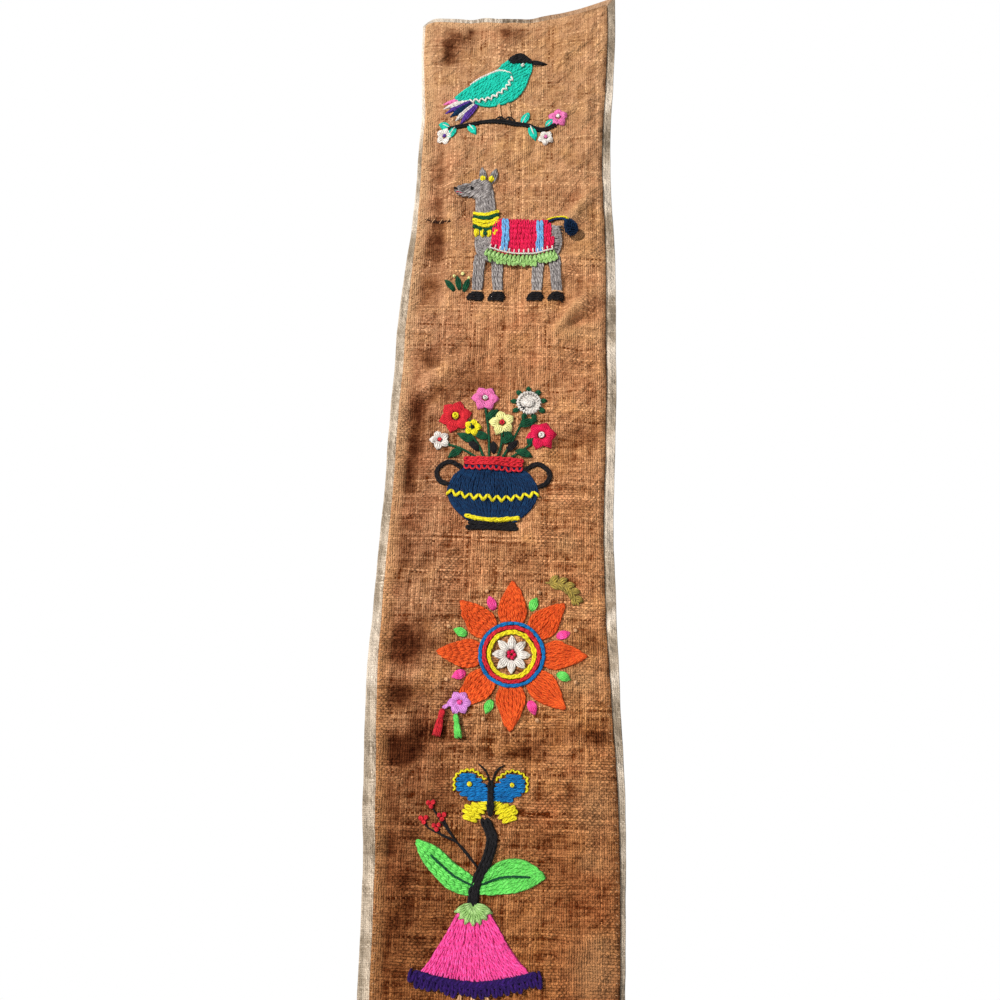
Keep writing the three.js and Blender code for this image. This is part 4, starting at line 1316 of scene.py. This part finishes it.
def bouquet():
    """Flowers in a two-handled pot."""
    m = Motif("bouquet", -6, -389, 300)
    left = smooth([(-19, 19), (-19, 15), (-26, 9), (-31, -1), (-27, -12), (-16, -22)])
    middle = smooth([(0, 19), (0, 15), (0, 8), (0, -1), (0, -12), (0, -23)])
    m["navy"].chain_between([left, middle, mirrored(left)], 2.9)
    m["red"].chain([(-20, 20.5), (20, 20.5)], 3.8, 3.6, 0.9, 0.8)
    m["red"].chain([(-19.5, 17.4), (19.5, 17.4)], 3.4, 3.6, 1.2)
    m["red"].loops([(-18, 16), (18, 16)], 3.4, 4.0, 0, 1.2, 0.7)
    m["lemon"].zigzag(smooth([(-30.5, -3), (-12, -6.5), (12, -6.5), (30.5, -3)]), 4.0, 6.2, 1.5, 0.95)
    m["lemon"].chain(smooth([(-18, -20), (0, -22), (18, -20)]), 3.0, 3.8, 1.4)
    for z, reach in ((-24.4, 15.5), (-27.2, 17)):
        m["black"].chain([(-reach, z), (reach, z)], 3.2, 4.0, 0.2, 0.75)
    handle = smooth([(-21, 14), (-30, 19), (-38, 13), (-36, 5), (-29, 2)])
    for side in (handle, mirrored(handle)):
        m["black"].chain(side, 3.4, 3.8, 0.3, 0.75)
    stems = (((-6, 20), (-12, 33), (-25, 48)), ((-3, 20), (-4, 40), (-7, 60)), ((2, 20), (5, 32), (5, 43)),
             ((5, 20), (14, 38), (22, 56)), ((8, 20), (18, 27), (29, 36)), ((-9, 20), (-22, 28), (-34, 32)))
    for path in stems:
        m["dark_green"].stem(smooth(path), 0.0, 0.7)
    for x, z, degrees, length in ((-14, 33, 150, 13), (-16, 38, 95, 11), (-4, 36, 160, 11), (5, 33, 35, 10),
                                  (12, 34, 120, 11), (17, 46, 20, 13), (15, 28, -20, 12), (-22, 28, 215, 11),
                                  (-5, 50, 45, 10), (24, 32, 75, 9)):
        m["dark_green"].leaf((x, z), degrees, length, 5.0, 0.5)
    for x, z, degrees, length in ((-10, 27, 140, 10), (9, 27, 50, 11), (0, 25, 95, 9)):
        m["black"].leaf((x, z), degrees, length, 4.4, 0.7)
    flower(m, "red", -27, 51, 11.5, 6, "lemon", 15, 0.6)
    flower(m, "pink", -7, 65, 9.5, 6, "white", 0, 0.6)
    flower(m, "straw", 5, 47, 9.0, 5, "red", 30, 0.8)
    flower(m, "crimson", 32, 39, 10.5, 6, "white", 10, 0.6)
    flower(m, "white", -37, 34, 7.0, 5, "red", 40, 0.5)
    flower(m, "lemon", -15, 43, 6.0, 5, "black", 5, 1.2)
    for k in range(9):
        degrees = 40 * k + 12
        m["dark_green"].leaf(np.array([23, 62]) + heading(degrees) * 8.0, degrees, 4.6, 3.0, 0.0)
    return m.make()


def star():
    """A large eight-pointed star, a small flower to its lower left and a sprig to its upper right."""
    m = Motif("star", 9, -500, 400)
    side = smooth([(17, 4), (23, 8.2), (29, 9.6), (37, 6.4), (47, 0.6)])
    for k in range(8):
        ray, gap = 45 * k, 45 * k + 22.5
        m["orange"].chain_between([turned_points(side, ray), turned_points(side * [1, -1], ray)], 3.0, 4.3)
        m["white"].leaf(heading(ray) * 3, ray, 9.5, 4.8, 0.6)
        m["green" if k % 2 else "hot_pink"].leaf(heading(gap) * 31, gap, 9.5, 5.4)
        m["tan"].knot(heading(gap) * 44, 2.8)
    m["lemon"].ring(14.6, 3.2, 3.8, 0.6)
    m["red"].ring(17.6, 2.8, 3.8, 1.4)
    m["blue"].ring(20.2, 2.6, 3.8, 1.4)
    for k in range(5):
        m["crimson"].knot(heading(72 * k) * 2, 2.6, 1.2)
    m["lilac"].chain(smooth([(-31, -31), (-37, -31.5), (-42, -34.5)]), 2.8, 3.4, 0.8)
    m["lilac"].chain(smooth([(-31, -31), (-33, -34), (-34, -38)]), 2.8, 3.4, 0.8)
    flower(m, "lilac", -32, -31, 7.5, 6, "hot_pink", 0, 1.0)
    sprig = smooth([(21, 47), (30, 47), (38, 42), (43, 33)])
    m["olive"].stem(sprig, 0.0, 0.65)
    line = Line(sprig)
    for i, s in enumerate((3, 8, 13, 18, 23)):
        ahead = math.degrees(math.atan2(*(line.at(s + 1) - line.at(s))[::-1]))
        for side in (38, -38):
            m["olive"].leaf(line.at(s), ahead + side, 7.6 - 0.5 * i, 3.6, 0.3)
    return m.make()


def bell_flower():
    """A plant with one large bell, two big leaves, berries, and a butterfly above it."""
    m = Motif("plant", -7, -638, 500)
    m["black"].chain(smooth([(3, 38), (8, 27), (5, 14), (-1, 2), (-3, -12)]), 4.2, 4.2, 0.8, 0.85)
    m["black"].chain(smooth([(0.5, 38), (5, 27), (2, 14), (-3.5, 2), (-5.5, -12)]), 4.0, 4.2, 0.6, 0.8)
    m["green"].chain_between([smooth([(-2, 4), (-14, 12), (-26, 21), (-38, 25)]),
                              smooth([(-4, -6), (-16, -3), (-30, 8), (-38.5, 23)])], 2.9)
    m["green"].chain_between([smooth([(2, 8), (14, 15), (27, 15), (38, 7)]),
                              smooth([(0, -5), (12, -4), (26, -2), (38, 5.5)])], 2.9)
    m["dark_green"].stem(smooth([(-3, 0), (-16, 6), (-30, 17)]), 1.5, 0.5)
    m["dark_green"].stem(smooth([(1, 1), (14, 5.5), (30, 6)]), 1.5, 0.5)
    m["hot_pink"].chain_between([smooth([(-11, -13), (-17, -24), (-26, -38), (-34, -48)]),
                                 smooth([(-3, -12), (-3, -27), (-2, -41), (-1, -53)]),
                                 smooth([(5, -13), (12, -24), (22, -38), (32, -48)])], 3.3, 4.6)
    rim = smooth([(-36, -49), (-18, -53.5), (-1, -55.5), (16, -53.5), (34, -49)])
    m["dark_purple"].loops(rim + [0, 4.0], 7.5, 3.6, 0.0, 1.0, 0.95)
    m["dark_purple"].chain(rim + [0, 2.2], 4.4, 4.0, 1.0, 0.95)
    m["dark_purple"].loops(rim + [0, 2.0], 3.8, 3.6, 0.0, 0.4, 0.9)
    for x, low in ((-9, -67), (-2, -70), (6, -67)):
        m["tan"].chain([(x, -58), (x * 1.15, low)], 3.0, 4.0)
        m["red"].knot((x * 1.15, low - 1.5), 3.4, 0.2)
    for k in range(7):
        m["lime"].leaf((-3, -10), 200 + 23 * k, 12, 4.4, 1.5)
    for x, z in ((-31, 46), (-24, 39), (-35, 37), (-27, 33)):
        m["black"].stem(smooth([(-1, 10), (-14, 24), (x + 3, z - 5), (x, z)]), 0.0, 0.45)
        for dx, dz in ((-1.6, 0.6), (1.4, 1.0), (0.2, -1.6)):
            m["red"].knot((x + dx, z + dz), 3.2, 0.4)
    wing = rounded([(0, 52), (5, 60), (13, 64.5), (20, 62), (20, 54), (12, 49), (3, 48.5)])
    low_wing = rounded([(1, 48), (9, 47.5), (16, 44.5), (15, 38), (8, 36.5), (3, 42)])
    for side, row, low_row in ((1, 0, 20), (-1, 180, 160)):
        # Each side is mirrored at the butterfly's body, which is 5 to the right of the motif's middle.
        own, low_own, spot, feeler, trim = (np.array(points) * [side, 1] + [5, 0] for points in (
            wing, low_wing, (13, 58), [(0.5, 58), (3, 66), (8, 70)],
            [(3, 61), (12, 66.5), (21.5, 63), (22, 54)]))
        m["blue"].chain_fill(own, row, 2.8)
        m["lemon"].chain_fill(low_own, low_row, 2.7)
        m["lemon"].knot(spot, 3.2, 1.5)
        m["black"].stem(smooth(feeler), 0.3, 0.45)
        m["lemon"].zigzag(smooth(trim), 1.6, 3.4, 0.3, 0.6)
    m["black"].chain([(5, 60), (5, 40)], 4.2, 4.0, 1.8, 0.85)
    return m.make()


# ---------------------------------------------------------------------------------------------------------
# Dressed pieces that stand for the small solids, and plain mending and sewing
# ---------------------------------------------------------------------------------------------------------

GOLDEN_ANGLE = 2.39996
SEWING_THREAD = 0.26
SEWN_FROM, SEWN_TO = -9.0, 8 - LENGTH
POMPOM = {"x": 45, "z": -193, "radius": 5.5, "lift": 0.35, "tufts": 420}
ROSETTE = {"x": 17, "z": -327, "radius": 8.5, "dome": 3.6, "spokes": 22}
COIL_STEPS = 8
TASSEL_THREADS = 34
TASSEL_LIFT = 3.3
TASSELS = table("name colour x z length lean", [
    ("tassel_red", "red", -33, -535, 17, 13),
    ("tassel_green", "green", -25, -538, 15, -9),
])


def pompom():
    wool = Wool("pompom_wool_navy", "navy", (POMPOM["x"], POMPOM["z"]), 600)
    radius = POMPOM["radius"]
    middle = np.array([0, 0, radius + POMPOM["lift"]])
    for k in range(POMPOM["tufts"]):
        up = 1 - 2 * (k + 0.5) / POMPOM["tufts"]
        out = math.sqrt(1 - up * up)
        angle = k * GOLDEN_ANGLE
        way = np.array([out * math.cos(angle), out * math.sin(angle), up]) + wool.random.normal(0, 0.07, 3)
        way /= np.linalg.norm(way)
        reach = radius * wool.random.uniform(0.9, 1.03)
        wool.strand(middle + way * np.linspace(0.25, 1, 4)[:, None] * reach, 0.46, 0.55)
    piece = wool.make()
    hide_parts("pompom_navy")
    return piece


def rosette():
    at = (ROSETTE["x"], ROSETTE["z"])
    wool = Wool("rosette_wool_white", "white", at, 610)
    radius, dome = ROSETTE["radius"], ROSETTE["dome"]

    def coil(outer, inner, turns, height_at, yarn):
        """Yarn wound from outer to inner, cut into strands of a third of a turn."""
        t = np.linspace(0, 1, 3 * turns * COIL_STEPS + 1)
        out = outer + (inner - outer) * t
        angle = 2 * np.pi * turns * t
        path = np.column_stack([out * np.cos(angle), out * np.sin(angle), height_at(out)])
        for a in range(0, len(t) - 1, COIL_STEPS):
            wool.strand(path[a:a + COIL_STEPS + 1], yarn, 0.95)

    coil(radius - 0.7, 3.6, 4, lambda out: 0.9 + 0 * out, 0.72)
    coil(radius - 0.8, radius - 1.3, 1, lambda out: 1.9 + 0 * out, 0.8)
    coil(dome + 0.1, 0.4, 4, lambda out: 1.3 + 2.4 * np.sqrt(1 - (out / (dome + 0.3)) ** 2), 0.62)
    for k in range(ROSETTE["spokes"]):
        way = heading(360 * k / ROSETTE["spokes"])
        wool.stitch(way * (radius - 2.6), way * (radius + 0.1), 1.7, 0.7, 0.5)
    piece = wool.make()
    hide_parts("rosette_white")
    # Black stitches at the lower left of the dome stand for the shade under it: a painted shadow made of
    # yarn, drawn as a twig.
    dark = Wool("rosette_knots_black", "black", at, 611)
    dark.stem(smooth([(-6.2, -1.0), (-4.6, -4.2), (-1.4, -6.2)]), 1.7, 0.4, 1.6, 3.2)
    shadow_twigs = ((-5.2, -3.4), (-6.6, -5.0)), ((-3.0, -5.4), (-3.6, -7.2)), ((-4.4, -3.8), (-2.6, -3.4))
    for start, end in shadow_twigs:
        dark.stitch(start, end, 1.7, 0.3, 0.36)
    return [piece, dark.make()]


def tassel(t):
    wool = Wool(t.name + "_wool", t.colour, (0, 0), 620 + int(t.lean))
    down = heading(-90 - t.lean)
    aside = heading(-t.lean)

    def place(share, out, angle):
        flat = np.array([t.x, t.z]) + down * share * t.length + aside * out * math.cos(angle)
        return [*flat, TASSEL_LIFT + out * math.sin(angle)]

    for k in range(TASSEL_THREADS):
        angle = 2 * np.pi * k / TASSEL_THREADS + wool.jitter(0.1)
        inner = wool.random.uniform(0.35, 1.0) ** 0.5 if k % 3 else 0.4
        reach = wool.random.uniform(0.93, 1.02)
        bulges = ((0.02, 0.5), (0.1, 1.5), (0.2, 1.5), (0.3, 0.9), (0.45, 1.7), (0.7, 2.2), (reach, 2.4))
        wool.strand([place(share, out * inner, angle) for share, out in bulges], 0.5, 0.8)
    for share in (0.24, 0.28, 0.32):
        angles = np.linspace(0, 2 * np.pi, 13)
        wool.strand([place(share + 0.02 * a / t.length, 1.45, a) for a in angles], 0.42, 1.0)
    piece = wool.make()
    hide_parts(t.name)
    "wool_" + t.colour
    return piece


def darn():
    """A small mend: a dark slit closed with light slanted stitches."""
    dark = Wool("darn_dark", "brown", (-52, -185), 630)
    dark.stitches(smooth([(-9.5, 0.3), (-3, -0.4), (4, 0.1), (9.5, -0.4)]), 5.0, -0.25, 0.6, 0.1)
    dark.stitches(smooth([(-5, -1.2), (0, -1.4), (5, -1.1)]), 4.0, -0.3, 0.4, 0.1)
    light = Wool("darn_stitches", "tan", (-52, -185), 631)
    for x in (-8, -3, 2.5, 7.5):
        light.stitch((x - 1.0, -1.9), (x + 1.2, 2.0), 0.35, 0.25, 0.36)
    return [dark.make(), light.make()]


def edge_stitches():
    """Whip stitches that hold the face's turned edges to the backing."""
    wool = Wool("edge_stitches", "tan", (0, 0), 640)
    fall = FRONT - BACKING_THICKNESS
    t = np.linspace(0, 1, 7)
    height = np.interp(t, [0, 0.15, 0.45, 0.6, 0.9, 1], [-0.4, 0.32, 0.3, -0.9, -fall + 0.5, -fall - 0.2])
    for side, edge in ((-1, face_left), (1, face_right)):
        z = SEWN_FROM
        while z > SEWN_TO:
            lean = wool.random.uniform(0.6, 1.6)
            x = float(edge(np.array(z))) + side * (3.0 * t - 1.6)
            wool.strand(np.column_stack([x, z - lean * t, height]), SEWING_THREAD)
            z -= wool.random.uniform(4.0, 6.5)
    return wool.make()


# ---------------------------------------------------------------------------------------------------------
# The banner
# ---------------------------------------------------------------------------------------------------------

FACE_GRID = 2.1
BACKING_GRID = 3.0

face = turned_cloth("face_cloth", face_cloth(), FACE_GRID, FACE_THICKNESS, FACE_HEIGHT, FACE_HEM_HEIGHT, True)
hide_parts("face_panel")

backing = turned_cloth(
    "backing_cloth", backing_cloth(), BACKING_GRID, BACKING_THICKNESS, BACKING_HEIGHT,
    BACKING_HEM_HEIGHT, False)
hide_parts("backing_panel")

stitched = [pompom(), edge_stitches()] + darn() + rosette() + [tassel(t) for t in TASSELS]
for motif in (bird, llama, bouquet, star, bell_flower):
    stitched += motif()

# ---------------------------------------------------------------------------------------------------------
# Stage, light and camera, in metres
# ---------------------------------------------------------------------------------------------------------

FLOOR_SIZE = 8
FLOOR_DROP = 1.5
FLOOR_COLOUR = (0.86, 0.86, 0.85, 1)
WHITE = (1, 1, 1, 1)
WORLD_LIGHT = 0.2
AIM = Vector((-0.001, -0.006, -0.398))
CAMERA_DISTANCE = 0.664
CAMERA_LENS = 36
CAMERA_SENSOR = 36
CAMERA_TILT = math.radians(17.7)
CAMERA_ROLL = math.radians(1.53)
LIGHTS = table("name place aim size power colour", [
    ("key", (-1.75, -2.42, 0.35), (0.0, 0.0, -0.36), 0.22, 112, (1.0, 0.97, 0.93)),
    ("fill", (0.9, -1.6, -0.2), (0.0, 0.0, -0.4), 1.2, 4, (0.95, 0.97, 1.0)),
    ("back", (0.6, 2.4, 0.6), (0.0, 0.0, -0.4), 1.5, 40, (1.0, 1.0, 1.0)),
])


def floor():
    n = Nodes("floor_pale")
    n.feed(n.shader.inputs["Base Color"], FLOOR_COLOUR)
    n.feed(n.shader.inputs["Roughness"], 0.8)
    bpy.ops.mesh.primitive_plane_add(size=FLOOR_SIZE, location=(0, 0, -FLOOR_DROP))
    plane = bpy.context.object
    plane.name = "floor"
    plane.data.materials.append(n.material)


def area_light(light):
    data = bpy.data.lights.new(light.name, "AREA")
    data.shape = "DISK"
    data.size = light.size
    data.energy = light.power
    data.color = light.colour
    lamp = bpy.data.objects.new(light.name, data)
    lamp.location = light.place
    lamp.rotation_euler = (Vector(light.aim) - Vector(light.place)).to_track_quat("-Z", "Y").to_euler()
    bpy.context.scene.collection.objects.link(lamp)


def world():
    """Pale surroundings, seen white behind the banner and dimmer as light."""
    shown = bpy.data.worlds.new("studio")
    bpy.context.scene.world = shown
    shown.use_nodes = True
    tree = shown.node_tree
    back = tree.nodes["Background"]
    back.inputs["Color"].default_value = WHITE
    path = tree.nodes.new("ShaderNodeLightPath")
    strength = tree.nodes.new("ShaderNodeMapRange")
    strength.inputs["To Min"].default_value = WORLD_LIGHT
    strength.inputs["To Max"].default_value = 1.0
    tree.links.new(path.outputs["Is Camera Ray"], strength.inputs[0])
    tree.links.new(strength.outputs[0], back.inputs["Strength"])


def camera():
    """The photo's view: from lower down, looking up along the banner, with a small roll."""
    look = Vector((0, math.cos(CAMERA_TILT), math.sin(CAMERA_TILT)))
    right = Vector((1, 0, 0))
    up = right.cross(look)
    rolled_right = right * math.cos(CAMERA_ROLL) + up * math.sin(CAMERA_ROLL)
    rolled_up = up * math.cos(CAMERA_ROLL) - right * math.sin(CAMERA_ROLL)
    data = bpy.data.cameras.new("camera")
    data.lens = CAMERA_LENS
    data.sensor_width = CAMERA_SENSOR
    data.clip_start = 0.01
    eye = bpy.data.objects.new("camera", data)
    turn = Matrix((rolled_right, rolled_up, -look)).transposed()
    eye.matrix_world = Matrix.Translation(AIM - look * CAMERA_DISTANCE) @ turn.to_4x4()
    bpy.context.scene.collection.objects.link(eye)
    bpy.context.scene.camera = eye


floor()
world()
for light in LIGHTS:
    area_light(light)
camera()
bpy.context.scene.view_settings.view_transform = "Standard"
